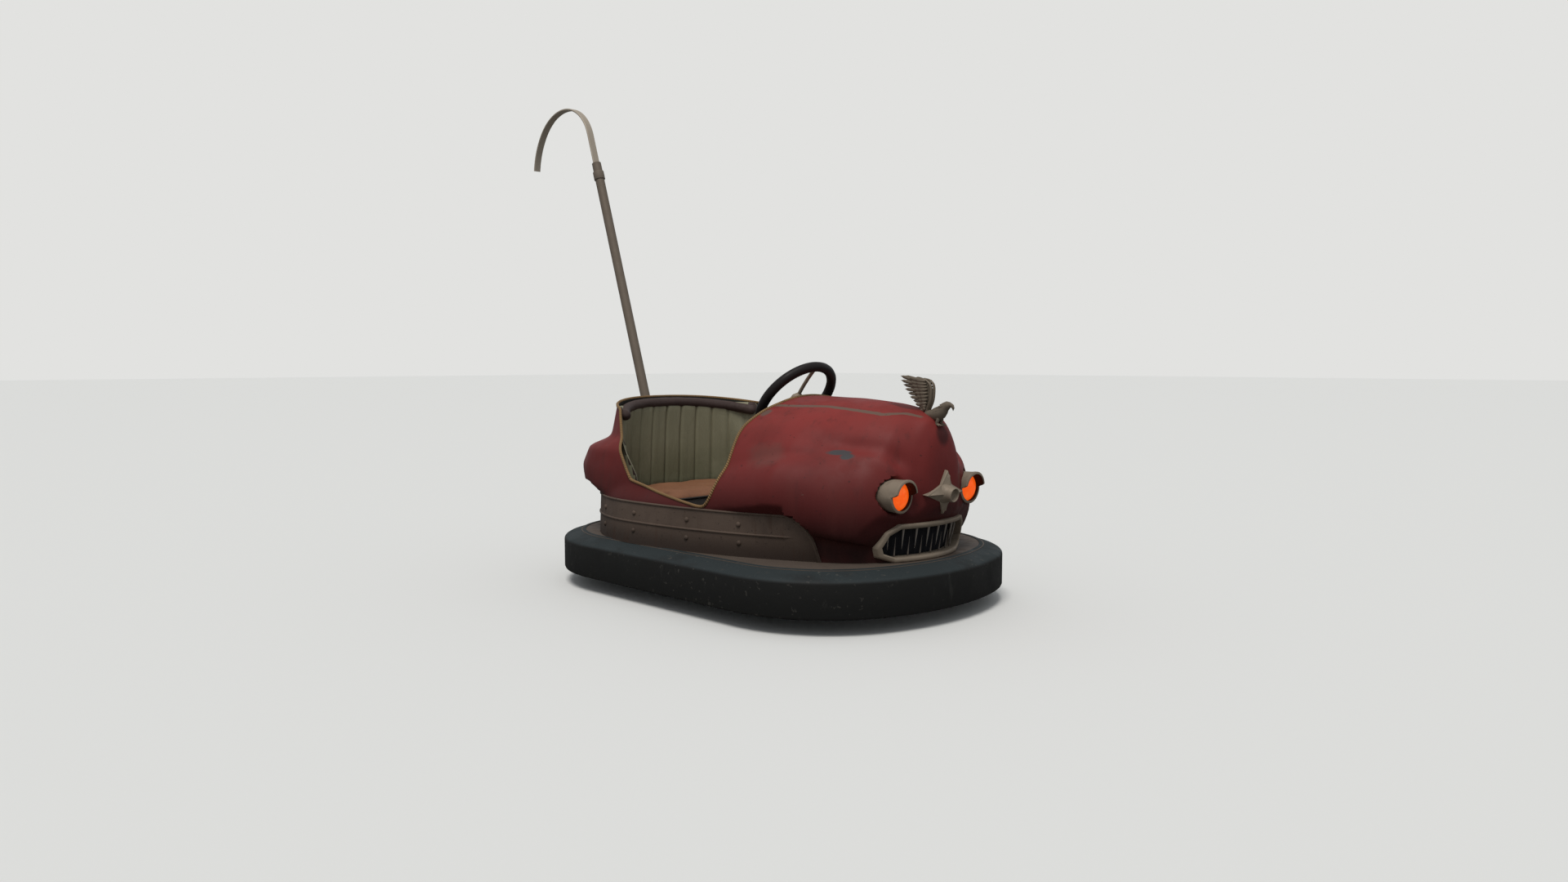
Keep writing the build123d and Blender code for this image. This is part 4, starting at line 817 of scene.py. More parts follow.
def tail_half(reach, half, corner, fine=1):
    """Left half of the round tail in plan, from the middle of the tail to the straight side."""
    centre_x = sqrt((reach - corner) ** 2 - (half - corner) ** 2)
    grow = reach / (reach - corner)
    meet = (-centre_x * grow, (half - corner) * grow)
    turn = atan2(meet[1], meet[0]) - pi
    count = 10 * fine
    turns = [pi + turn * i / count for i in range(count + 1)]
    tail = [(reach * cos(at), reach * sin(at)) for at in turns]
    round_corner = arc_leaving((-centre_x, half), (-1, 0), meet, 8 * fine)
    return tail + round_corner[::-1][1:]


def body_half(reach, half, corner, nose, fine=1):
    """Left half of the body in plan, from the tail to the nose."""
    radius = nose - NOSE_CENTRE
    cheek_point = (NOSE_CENTRE + radius * cos(CHEEK), radius * sin(CHEEK))
    rear = tail_half(reach, half, corner, fine)
    side = arc_leaving(rear[-1], (1, 0), cheek_point, 16 * fine)
    count = 18 * fine
    turns = [CHEEK * (1 - i / count) for i in range(count + 1)]
    front = [(NOSE_CENTRE + radius * cos(at), radius * sin(at)) for at in turns]
    return rear + side[1:] + front[1:]


def both_halves(half_line):
    """A closed outline from its left half."""
    return half_line + [(x, -y) for x, y in half_line[::-1][1:-1]]


# Height above the deck, then how far tail, side, corner centre and nose stand in from the ring
TUB_LEVELS = (
    (0.0, 0.150, 0.075, 0.025, 0.135),
    (BAND_HEIGHT, 0.150, 0.088, 0.024, 0.106),
    (0.261, 0.175, 0.150, 0.020, 0.080),
)
TAIL_LEVELS = (
    (0.153, 0.158, 0.110, 0.020),
    (0.192, 0.065, 0.121, 0.129),
    (0.274, 0.045, 0.130, 0.145),
    (0.354, 0.080, 0.145, 0.130),
    (0.393, 0.175, 0.175, 0.075),
)
SEAT_LEVELS = (
    (0.181, 0.160, 0.160, 0.070),
    (0.381, 0.178, 0.180, 0.070),
    (0.581, 0.212, 0.218, 0.057),
    (0.641, 0.222, 0.229, 0.053),
)


def insets_at(levels, high):
    """The insets of a table at a height, straight between its rows."""
    heights = [row[0] for row in levels]
    return [float(np.interp(high, heights, [row[i] for row in levels])) for i in range(1, len(levels[0]))]


def tub_half(high, fine=1):
    """Left half of the tub's outline at a height above the deck."""
    tail, side, middle, nose = insets_at(TUB_LEVELS, high)
    return body_half(REACH - tail, HALF_WIDTH - side, HALF_WIDTH - side - middle, REACH - nose, fine)


def nose_radius(high):
    """Radius of the nose about its centre at a height above the deck."""
    return REACH - insets_at(TUB_LEVELS, high)[3] - NOSE_CENTRE


def tub_rings():
    """The tub from below the deck to its shoulder."""
    heights = (-0.06, 0.0, BAND_HEIGHT, 0.261)
    return [[Vector((x, y, DECK + high)) for x, y in both_halves(tub_half(high))] for high in heights]


def tail_rings(levels, front):
    """A bulge at the tail, square in front."""
    rings = []
    for high, tail, side, middle in levels:
        half_line = tail_half(REACH - tail, HALF_WIDTH - side, HALF_WIDTH - side - middle)
        outline = both_halves([*half_line, (front, half_line[-1][1])])
        outline.insert(len(half_line) + 1, (front, -half_line[-1][1]))
        rings.append([Vector((x, y, DECK + high)) for x, y in outline])
    return rings


def bonnet_rings():
    """The bonnet: setback, half width, shoulder, ridge half width, ridge height, crown."""
    stations = (
        (0.850, 0.738, 0.301, 0.331, 0.547, 0.581),
        (0.500, 0.640, 0.301, 0.254, 0.547, 0.576),
        (0.290, 0.4615, 0.281, 0.177, 0.536, 0.561),
        (0.190, 0.369, 0.271, 0.131, 0.526, 0.544),
        (0.120, 0.215, 0.251, 0.092, 0.496, 0.516),
        (0.085, 0.146, 0.231, 0.069, 0.441, 0.461),
        (0.076, 0.108, 0.211, 0.054, 0.341, 0.356),
    )
    rings = []
    for setback, wide, shoulder, ridge, ridge_top, crown in stations:
        wide, ridge = HALF_WIDTH * wide, HALF_WIDTH * ridge
        middle = (
            (wide + ridge) / 2 + 0.12 * (ridge_top - shoulder),
            (shoulder + ridge_top) / 2 + 0.12 * (wide - ridge),
        )
        side = arc_through((wide, shoulder), middle, (ridge, ridge_top), 12)
        top = arc_through((ridge, ridge_top), (0, crown), (-ridge, ridge_top), 10)
        outline = [(-wide, 0.160), (wide, 0.160), *side, *top[1:], *((-y, z) for y, z in side[::-1][1:])]
        rings.append([Vector((REACH - setback, y, DECK + z)) for y, z in outline])
    return rings


def fender_rings(side):
    """One fender: setback, foot half width, foot height, outer, crest half width, crest height."""
    stations = (
        (0.850, 0.815, 0.126, 0.812, 0.523, 0.343),
        (0.500, 0.705, 0.126, 0.757, 0.520, 0.387),
        (0.290, 0.585, 0.091, 0.615, 0.431, 0.385),
        (0.200, 0.4615, 0.071, 0.500, 0.346, 0.372),
        (0.150, 0.385, 0.101, 0.400, 0.308, 0.345),
        (0.115, 0.2615, 0.131, 0.292, 0.231, 0.315),
    )
    inner = 0.19 * HALF_WIDTH
    rings = []
    for setback, foot, low, outer, crest, top in stations:
        foot, outer, crest = (HALF_WIDTH * share for share in (foot, outer, crest))
        round_side = arc_through((foot, low), (outer, 0.211), (crest, top), 14)
        outline = [(inner, low), *round_side, (inner, top - 0.04)]
        rings.append([Vector((REACH - setback, side * y, DECK + z)) for y, z in outline])
    return rings


def cockpit_line():
    """The cockpit's rim from the tail to the bonnet, side view: x and height above the deck."""
    bend = (
        (-0.291, 0.243), (-0.09, 0.206), (0.12, 0.175), (0.165, 0.186), (0.191, 0.237),
        (0.204, 0.309), (0.202, 0.375), (0.188, 0.461), (0.199, 0.510), (0.214, 0.557),
    )
    front = curve_through(bend, 6)
    line = [(-0.8, 0.566), (-0.5, 0.519), (-0.439, 0.416), *((p.x, p.y) for p in front)]
    return [(x, DECK + z) for x, z in line]


def mouth_corners(inset=0.0):
    """The mouth's outline on the left from its top down, moved inwards: y and height above the deck."""
    outline = ((0.180, 0.140), (0.224, 0.112), (0.248, 0.058), (0.236, 0.022), (0.182, 0.0008))
    corners = [Vector(c) for c in outline]
    run = [Vector((0, corners[0].y)), *corners, Vector((0, corners[-1].y))]
    moved = []
    for before, here, after in zip(run, run[1:], run[2:]):
        first, last = (here - before).normalized(), (after - here).normalized()
        across = (Vector((first.y, -first.x)) + Vector((last.y, -last.x))).normalized()
        reach = inset / max(0.3, across.dot(Vector((first.y, -first.x))))
        moved.append(here + across * reach)
    return moved


def prism(name, outline, low, high, along):
    """A closed bar with a flat outline: along y the outline is x, z, and along x it is y, z."""
    if along == "y":
        rows = [[Vector((x, place, z)) for x, z in outline] for place in (low, high)]
    else:
        rows = [[Vector((place, y, z)) for y, z in outline] for place in (low, high)]
    return skin(name, rows)


def melt_forms():
    """The closed outer forms joined by a voxel remesh, their creases smoothed away."""
    forms = [
        skin("tub", tub_rings()),
        skin("tail", tail_rings(TAIL_LEVELS, 0.04)),
        skin("seat_shell", tail_rings(SEAT_LEVELS, 0.12)),
        skin("bonnet", bonnet_rings()),
        skin("fender_left", fender_rings(1)),
        skin("fender_right", fender_rings(-1)),
    ]
    body = join("body_skin", forms)
    remesh = body.modifiers.new("melt", "REMESH")
    remesh.mode = "VOXEL"
    remesh.voxel_size = 0.011
    remesh.use_smooth_shade = True
    smooth = body.modifiers.new("soften", "SMOOTH")
    smooth.factor = 0.5
    smooth.iterations = 12
    grow = body.modifiers.new("grow", "DISPLACE")
    grow.mid_level = 0
    grow.strength = 0.002
    return bake(body)


def bump(far, size):
    """1 at the middle of a bump, falling away smoothly with distance."""
    return 2.718 ** -((far / size) ** 2)


def dent(body):
    """Slight unevenness, a few shallow dents, and a crisp crease and full crest along each fender."""
    dents = (
        ((0.35, -0.45, 0.50), 0.07, 0.005),
        ((-0.2, -0.56, 0.42), 0.06, 0.004),
        ((0.62, 0.30, 0.6), 0.08, 0.005),
    )
    setbacks, widths, heights = FENDER_CREST
    moved = []
    for place, turn in [(v.co.copy(), v.normal.copy()) for v in body.data.vertices]:
        push = 0.0014 * noise.noise(place * 5.5)
        for centre, size, deep in dents:
            push -= deep * bump((place - Vector(centre)).length, size)
        if place.x > 0.15:
            setback = REACH - place.x
            crest = Vector((np.interp(setback, setbacks, widths), np.interp(setback, setbacks, heights)))
            here = Vector((abs(place.y), place.z - DECK)) - crest
            fade = held((place.x - 0.22) / 0.2) * held((0.86 - place.x) / 0.08)
            push -= 0.013 * fade * bump((here - Vector((-0.045, 0.020))).length, 0.030)
            push += 0.007 * fade * bump((here - Vector((0.010, 0.004))).length, 0.034)
        moved.append(clear_of_trim(place + turn * push))
    body.data.vertices.foreach_set("co", [c for place in moved for c in place])
    body.data.update()


def clear_of_trim(place):
    """Keeps a point of the red skin behind the band and behind the mouth's frame."""
    high = place.z - DECK
    if high < 0.215:
        # How far the skin may bulge past the tub: not at all behind the band, more above it
        free = max(0.0, high - 0.166) * 1.1
        level = min(high, BAND_HEIGHT)
        if place.x < band_end(level) + 0.01:
            line = TUB_LINES[held(round(level / TUB_STEP), 0, 8)]
            here = Vector((place.x, abs(place.y)))
            near = min(range(len(line) - 1), key=lambda i: (line[i] - here).length)
            a, b = line[near], line[near + 1]
            ahead = (b - a).normalized()
            away = Vector((-ahead.y, ahead.x))
            if away.dot(a) < 0:
                away = -away
            past = (here - a).dot(away) - 0.002 - free
            if past > 0:
                side_of = -1 if place.y < 0 else 1
                return Vector((place.x - away.x * past, place.y - side_of * away.y * past, place.z))
    # A shallow seat round each lamp, open on its outer side
    across, up = abs(place.y) - LAMP_Y, place.z - LAMP_Z
    far = hypot(across, up)
    if place.x > LAMP_BACK and far < 0.13:
        limit = LAMP_BACK + 0.034 + max(0.0, far - 0.056) * 2.6
        limit = limit + max(0.0, -across) * 1.8 + abs(up) * 0.6
        if place.x > limit:
            place = Vector((limit + 0.15 * (place.x - limit), place.y, place.z))
    if place.x > 0.5 and abs(place.y) < 0.42 and high < 0.24:
        gap = mouth_gap(abs(place.y), high)
        limit = nose_radius(held(high, 0.0, BAND_HEIGHT)) + 0.007 + max(0.0, gap - 0.004) * 0.4
        far = hypot(place.x - NOSE_CENTRE, place.y)
        if far > limit:
            x = NOSE_CENTRE + (place.x - NOSE_CENTRE) * limit / far
            return Vector((x, place.y * limit / far, place.z))
    return place


def mouth_gap(across, high):
    """Distance of a point on the nose from the mouth's outline, 0 inside it."""
    run = [Vector((0, MOUTH[0].y)), *MOUTH, Vector((0, MOUTH[-1].y))]
    here = Vector((across, high))
    inside = True
    best = 1.0
    for a, b in zip(run, run[1:]):
        ahead = b - a
        t = held((here - a).dot(ahead) / ahead.length_squared)
        best = min(best, (here - a - ahead * t).length)
        if (here - a).dot(Vector((ahead.y, -ahead.x))) < 0:
            inside = False
    return 0.0 if inside else best


def cutters():
    """What is cut from the closed body: cockpit, foot, mouth and lamp holes."""
    rim = cockpit_line()
    profile = [(-1.2, rim[0][1]), *rim, (rim[-1][0], 1.2), (-1.2, 1.2)]
    mouth = [(c.x, DECK + c.y) for c in mouth_corners(0.008)]
    foot = DECK + 0.0005
    cuts = [
        prism("cockpit_cut", profile, -0.8, 0.8, "y"),
        prism("foot_cut", [(-1.1, 0.0), (1.1, 0.0), (1.1, foot), (-1.1, foot)], -0.8, 0.8, "y"),
        prism("mouth_cut", mouth + [(-y, z) for y, z in mouth[::-1]], 0.5, 1.0, "x"),
    ]
    for side in (-1, 1):
        hole = [(side * LAMP_Y + y, LAMP_Z + z) for y, z in circle(LAMP_HOLE, 24)]
        cuts.append(prism("lamp_cut", hole, LAMP_BACK, 1.0, "x"))
    return join("body_cutters", cuts)


MOUTH = mouth_corners()
# The fender's crest: setback, half width and height above the deck
FENDER_CREST = (
    (0.115, 0.150, 0.200, 0.290, 0.500, 0.850),
    (0.150, 0.200, 0.225, 0.280, 0.338, 0.340),
    (0.315, 0.345, 0.372, 0.385, 0.387, 0.343),
)
# The tub's outlines in plan at even heights up to the band's top
TUB_STEP = BAND_HEIGHT / 8
TUB_LINES = [[Vector(p) for p in tub_half(TUB_STEP * i, 2)] for i in range(9)]


def make_body():
    """The red body: melted forms, cut open, with a wall; gives the cockpit's edge."""
    body = melt_forms()
    dent(body)
    body.data.materials.clear()
    body.data.materials.append(finishes["red_paint"])
    tool = cutters()
    tool.data.materials.append(finishes["dark_panel"])
    cut = body.modifiers.new("cut", "BOOLEAN")
    cut.operation = "DIFFERENCE"
    cut.solver = "EXACT"
    cut.use_self = True
    cut.object = tool
    cut.material_mode = "TRANSFER"
    bake(body)
    bpy.data.objects.remove(tool)
    inside = [m.name for m in body.data.materials].index(finishes["dark_panel"].name)
    work = bmesh.new()
    work.from_mesh(body.data)
    doomed = [face for face in work.faces if face.material_index == inside]
    bmesh.ops.delete(work, geom=doomed, context="FACES")
    bmesh.ops.remove_doubles(work, verts=work.verts, dist=0.0004)
    rim = rim_loop(work)
    work.to_mesh(body.data)
    work.free()
    body.data.materials.clear()
    body.data.materials.append(finishes["red_paint"])
    body.data.materials.append(finishes["frame_steel"])
    give_wall(body, BODY_WALL, 1)
    soften_by_angle(body, 50)
    finish_piece(body, stands_for=["body_shell"])
    return rim


def rim_loop(work):
    """The points of the cockpit's edge, in order, from the open mesh."""
    links = {}
    for edge in work.edges:
        if edge.is_boundary:
            a, b = edge.verts
            links.setdefault(a.index, []).append(b.index)
            links.setdefault(b.index, []).append(a.index)
    work.verts.ensure_lookup_table()
    left = set(links)
    best = []
    while left:
        start = left.pop()
        loop = [start]
        here, back = start, None
        while True:
            following = [v for v in links[here] if v != back and v in left]
            if not following:
                break
            back, here = here, following[0]
            left.discard(here)
            loop.append(here)
        heights = [work.verts[i].co.z for i in loop]
        if len(loop) > len(best) and max(heights) > 0.7 and max(heights) - min(heights) > 0.2:
            best = loop
    return [work.verts[i].co.copy() for i in best]


def make_piping(rim):
    """The gilt cord along the whole cockpit rim."""
    path = relaxed(even_path(rim, 0.007, True), 3, True)
    cord = sweep("rim_piping", path, lambda t: circle(0.0062, 8), "edging_cord", cyclic=True, run=True)
    return finish_piece(cord)


# Ring and band


def ring_half(reach, half, corner, fine=3):
    """Left half of the ring's plan outline, from the tail to the nose."""
    rear = tail_half(reach, half, corner, fine)
    return rear + [(-x, y) for x, y in rear[::-1]]


def make_ring():
    """The rubber bumper: upright sides with a soft foot, a sharp upper edge and a sloping top."""
    profile = (
        (0.010, 0.060), (0.003, 0.063), (0.0, 0.070), (0.0, 0.182), (0.0012, 0.188), (0.006, 0.194),
        (0.015, 0.199), (0.064, 0.2140), (0.074, 0.2185), (0.086, 0.2215), (0.091, 0.2210), (0.091, 0.2150),
        (0.110, 0.215), (0.110, 0.060),
    )
    rows = []
    for lean, high in profile:
        half_line = ring_half(REACH - lean, HALF_WIDTH - lean, RING_CORNER - lean)
        rows.append([Vector((x, y, high)) for x, y in both_halves(half_line)])
    ring = skin("bumper_tyre", rows, "ring_rubber", ring=True)
    soften_by_angle(ring, 40)
    return finish_piece(ring, stands_for=["bumper_ring"])


def band_end(high):
    """Where the band ends at the nose, at a height above the deck."""
    heights, setbacks = (0, 0.070, 0.115, 0.150, 0.163, 0.168), (0, 0.012, 0.028, 0.055, 0.075, 0.100)
    return REACH - 0.352 - float(np.interp(high, heights, setbacks))


def outward(line):
    """Directions square to a plan line, pointing away from the car's middle."""
    made = []
    for i, place in enumerate(line):
        before, after = neighbours(line, i)
        ahead = (Vector(after) - Vector(before)).normalized()
        across = Vector((-ahead.y, ahead.x))
        made.append(across if across.dot(Vector(place)) > 0 else -across)
    return made


def band_line(high):
    """The tub's left outline at a height above the deck: its points, outward directions and run lengths."""
    line = tub_half(high, 3)
    return line, outward(line), run_lengths(line)


def band_point(high, band, run):
    """A point of the band's outside on the left at a run from the tail, and its outward direction."""
    line, away, lengths = band
    place = Vector([float(np.interp(run, lengths, [p[i] for p in line])) for i in (0, 1)])
    turn = Vector([float(np.interp(run, lengths, [d[i] for d in away])) for i in (0, 1)]).normalized()
    place += turn * BAND_PROUD
    return Vector((place.x, place.y, DECK + high)), Vector((turn.x, turn.y, 0))


def run_at(band, x):
    """The run from the tail at which the band reaches x on the left side."""
    line, _, lengths = band
    return float(np.interp(x, [p[0] for p in line], lengths))


def bead(distance, height=BEAD_HEIGHT):
    """How far a half-round bead stands up at a distance from its middle."""
    share = min(1.0, abs(distance) / (BEAD_WIDTH / 2))
    return height * sqrt(1 - share * share)


def make_band():
    """The pressed band round the tub: a raised edge along its top and nose and a bead along its middle."""
    middle = BEAD_Z - DECK
    rise = (-1.3, -1, -0.85, -0.5, 0, 0.5, 0.85, 1)
    heights = [0.0, 0.02, 0.04, 0.06, 0.075]
    heights += [middle + BEAD_HEIGHT * s for s in (*rise, 1.3)]
    heights += [0.105, 0.125, 0.145, 0.154]
    heights += [BAND_TOP - DECK - BEAD_HEIGHT + BEAD_HEIGHT * s for s in rise]
    # The upper edge in side view, and how far from the nose end its first columns stand
    edge = [(band_end(h / 500), h / 500) for h in range(0, 85)] + [(-1.0, BAND_HEIGHT)]
    near = [0.0, 0.0007, 0.0022, 0.0045, 0.0068, 0.0083, 0.009, 0.0105, 0.02]
    count = 110
    starts, ends = np.array(edge[:-1]), np.array(edge[1:])
    spans = ends - starts
    rows = []
    for high in heights:
        band = band_line(high)
        front = run_at(band, band_end(high))
        row = []
        for i in range(count):
            far = i - len(near) + 1
            run = front - near[i] if far < 1 else (front - near[-1]) * (1 - far / (count - len(near)))
            place, turn = band_point(high, band, run)
            here = np.array((place.x, high))
            along = np.clip(((here - starts) * spans).sum(1) / (spans * spans).sum(1), 0, 1)
            gap = float(np.linalg.norm(here - starts - spans * along[:, None], axis=1).min())
            lift = bead(gap - BEAD_HEIGHT)
            if place.x < BEAD_FRONT:
                fade = min(1.0, (BEAD_FRONT - place.x) / 0.01)
                lift = max(lift, bead(high - middle, BEAD_HEIGHT * fade))
            row.append(place + turn * lift)
        rows.append([*row, *(Vector((p.x, -p.y, p.z)) for p in row[:-1][::-1])])
    band = skin("skirt_plate", rows, "band_metal", around=False)
    face_away(band, (0, 0, 0.3))
    give_wall(band, BAND_SHEET)
    soften_by_angle(band, 50)
    return finish_piece(band, stands_for=["skirt_band"])


def make_rivets():
    """Domed rivets in pairs along both sides and round the tail."""
    places = []
    for high in (0.052, 0.121):
        band = band_line(high)
        for run in (0.14, 0.42, *(run_at(band, x) for x in (-0.44, -0.212, 0.076, 0.307))):
            place, turn = band_point(high, band, run)
            mirrored = (Vector((place.x, -place.y, place.z)), Vector((turn.x, -turn.y, 0)))
            places += [(place, turn), mirrored]
    rivets = scatter("band_rivets", "dome", "band_metal", places, 0.010, 0.007)
    return finish_piece(rivets)


# Grille: the frame on the leaning nose, its ribbed back and two rows of teeth


def on_nose(across, high, proud):
    """A point at a width and height, standing proud of the nose."""
    radius = nose_radius(max(0.0, high)) + proud
    return Vector((NOSE_CENTRE + sqrt(radius * radius - across * across), across, DECK + high))


def frame_rows():
    """The bar's sections from its left foot over the top to its right foot, and back along the bottom."""
    profile = (
        (-0.001, -0.034), (-0.001, 0.006), (0.001, 0.0105), (0.004, 0.0120), (0.013, 0.0110),
        (0.0165, 0.008), (0.018, 0.003), (0.018, -0.034),
    )
    lines = []
    for inset, proud in profile:
        left = mouth_corners(inset)
        lines.append(([*left[::-1], *(Vector((-c.x, c.y)) for c in left)], proud + 0.011))
    rows = []
    spans = len(lines[0][0])
    for span in range(spans):
        after = (span + 1) % spans
        # The long top and bottom bend with the nose, so they have more steps
        count = 28 if span in (4, spans - 1) else 5
        for i in range(count):
            rows.append([on_nose(*line[span].lerp(line[after], i / count), proud) for line, proud in lines])
    return rows


def make_grille():
    """Frame, back and teeth."""
    bar = skin("grille_bar", frame_rows(), "worn_trim", ring=True)
    soften_by_angle(bar, 40)
    finish_piece(bar, stands_for=["grille_frame"])
    # The back is a dark sheet with upright ribs, one behind each gap
    rows = []
    for high in np.linspace(0.0005, 0.128, 8):
        row = []
        for i in range(181):
            across = -0.235 + 0.47 * i / 180
            angle = atan2(across, nose_radius(high))
            wave = 0.003 * cos(2 * pi * angle / (TOOTH_PITCH / 2))
            row.append(on_nose(across, high, -0.031 + wave))
        rows.append(row)
    back = skin("grille_ribs", rows, "dark_panel", around=False)
    face_away(back, (0, 0, 0.3))
    give_wall(back, 0.002)
    finish_piece(back, stands_for=["grille_back"])
    hanging = tooth_row("hanging_teeth", 8, 0.126, 0.044, 0.0050, "tooth_metal")
    finish_piece(hanging, stands_for=["grille_teeth_upper"])
    rising = tooth_row("rising_teeth", 7, 0.014, 0.092, 0.0036, "dark_tooth")
    finish_piece(rising, stands_for=["grille_teeth_lower"])


def tooth_row(name, count, root, tip, radius, finish):
    """Slim pointed teeth along the nose, turned cones set by Geometry Nodes."""
    places = []
    for i in range(count):
        angle = (i - (count - 1) / 2) * TOOTH_PITCH
        reach = nose_radius(root) - 0.006
        place = Vector((NOSE_CENTRE + reach * cos(angle), reach * sin(angle), DECK + root))
        lean = (nose_radius(tip) - nose_radius(root)) / (tip - root)
        away = Vector((lean * cos(angle), lean * sin(angle), 1)) * (1 if tip > root else -1)
        places.append((place, away))
    return scatter(name, "tooth", finish, places, radius, abs(tip - root))


# Lamps: egg-backed barrels with a hood, and fluted amber lenses


def lamp_front(up):
    """How far the lamp's mouth reaches at a height on its rim, from -1 to 1."""
    return LAMP_FRONT + (HOOD_FRONT - LAMP_FRONT) * float(np.interp(up, (0.02, 0.14, 1), (0, 0.86, 1)))


def make_lamp(side, name):
    """One lamp's barrel with its thick lip and hood, dark inside, and its lens."""
    centre_y = side * LAMP_Y

    def ring(radius, x=None, back=0.0):
        """A ring round the lamp's axis, at x or so far back from the lamp's mouth."""
        row = []
        for a, b in circle(1, 64):
            here = lamp_front(b) - back if x is None else x
            row.append(Vector((here, centre_y + radius * a, LAMP_Z + radius * b)))
        return row

    # From the egg-like back over the lip and the hood, then inside to the lens's seat
    rows = [ring(0.004, LAMP_BACK)]
    for i in range(1, 9):
        turn = pi / 2 * (i / 8)
        rows.append(ring((LAMP_RADIUS - 0.004) * sin(turn), LAMP_BACK + 0.052 * (1 - cos(turn))))
    for back, slimmer in (
        (0.030, 0.002), (0.016, 0.001), (0.011, 0.0), (0.002, 0.0), (0.0, 0.0025), (0.0, 0.009),
        (0.003, 0.010), (0.010, 0.006),
    ):
        rows.append(ring(LAMP_RADIUS - slimmer, back=back))
    for radius, ahead in ((LAMP_RADIUS - 0.006, 0.004), (LAMP_RADIUS - 0.006, -0.004), (0.002, -0.004)):
        rows.append(ring(radius, LENS_SEAT + ahead))
    barrel = skin(name + "_barrel", rows, "worn_trim")
    barrel.data.materials.append(finishes["lamp_inside"])
    for face in barrel.data.polygons:
        across = Vector((0, face.center.y - centre_y, face.center.z - LAMP_Z))
        inside = across.length < LAMP_RADIUS - 0.0045 and face.center.x > LENS_SEAT - 0.006
        if inside and abs(face.normal.x) < 0.6 and across.dot(face.normal) < 0:
            face.material_index = 1
    soften_by_angle(barrel, 45)
    finish_piece(barrel, stands_for=["lamp_housing_" + name])
    # The lens: a dome with upright flutes that fade towards its edge
    edge, flute_pitch, flute_height = LAMP_RADIUS - 0.0065, 0.0105, 0.0011
    rows = []
    for i in range(15):
        share = i / 14
        dome = 0.030 * sqrt(max(0.0, 1 - share * share * 0.97)) + 0.001
        row = []
        for y, z in circle(edge * share, 96):
            flute = flute_height * cos(2 * pi * y / flute_pitch) * (1 - share**4)
            row.append(Vector((LENS_SEAT + dome + flute, centre_y + y, LAMP_Z + z)))
        rows.append(row)
    rows.append([Vector((LENS_SEAT - 0.003, p.y, p.z)) for p in rows[-1]])
    lens = skin(name + "_lens", rows, "amber_lens")
    finish_piece(lens, stands_for=["lamp_lens_" + name])


# Star: four ridged arms round a dished boss


def make_star():
    """A plain four-pointed star on the nose, tilted a little forward at its top."""
    lean = radians(7)
    centre = Vector((NOSE_FACE - 0.002, 0, LAMP_Z))

    def place(across, up, proud):
        """A point of the star's own plane in the car's frame."""
        ahead = proud * cos(lean) + up * sin(lean)
        return centre + Vector((ahead, across, up * cos(lean) - proud * sin(lean)))

    tips = [Vector(tip) for tip in ((0.109, -0.002), (0.0, 0.083), (-0.109, -0.002), (0.0, -0.078))]
    waist = 0.031
    rim = []
    for tip, after in zip(tips, tips[1:] + tips[:1]):
        between = tip + after
        mid = Vector((waist if between.x > 0 else -waist, waist if between.y > 0 else -waist))
        for start, end in ((tip, mid), (mid, after)):
            rim += [start.lerp(end, t) for t in (0, 0.25, 0.5, 0.75)]
    sections = ((1.0, -0.040), (1.0, 0.004), (0.97, 0.009), (0.86, 0.011))
    rows = [[place(p.x * share, p.y * share, proud) for p in rim] for share, proud in sections]
    crest = []
    for p in rim:
        ridge = (p.x * 0.8, 0) if abs(p.x) >= abs(p.y) else (0, p.y * 0.8)
        crest.append(place(*ridge, 0.027 - 0.09 * max(abs(p.x), abs(p.y))))
    rows += [crest, [place(0, 0, 0.029)] * len(rim)]
    arms = skin("star_arms", rows, "worn_trim")
    soften_by_angle(arms, 12)
    profile = (
        (-0.02, 0.0005), (-0.02, 0.043), (0.006, 0.043), (0.012, 0.040), (0.022, 0.032), (0.034, 0.0285),
        (0.046, 0.0275), (0.049, 0.0262), (0.0505, 0.0240), (0.049, 0.0220), (0.045, 0.0208),
        (0.037, 0.0185), (0.0335, 0.012), (0.0345, 0.007), (0.036, 0.0005),
    )
    boss = turned("star_boss", profile, centre, (cos(lean), 0, -sin(lean)), "worn_trim", 40)
    soften_by_angle(boss, 50)
    star = join("bonnet_star", [arms, boss], smooth=False)
    return finish_piece(star, stands_for=["nose_star"])


# Bird: a plain perching bird of the builder's own design, its wings swept up and back


def ellipse_rows(stations, count=16):
    """Rings round a path in the y = 0 plane: x, z, half width, half height across the path."""
    rows = []
    for i, (x, z, wide, tall) in enumerate(stations):
        before, after = neighbours(stations, i)
        ahead = Vector((after[0] - before[0], 0, after[1] - before[1])).normalized()
        up = Vector((-ahead.z, 0, ahead.x))
        if up.z < 0:
            up = -up
        rows.append([Vector((x, wide * a, z)) + up * (tall * b) for a, b in circle(1, count)])
    return rows


def leaf_half(t, wide, start, narrow, widen):
    """Half width of a leaf at a share of its length: it widens from its root and rounds off after start."""
    tip = sqrt(max(0.0, 1 - max(0.0, (t - start) / (1 - start)) ** 2))
    return wide * (narrow + widen * t) * tip + 0.0004


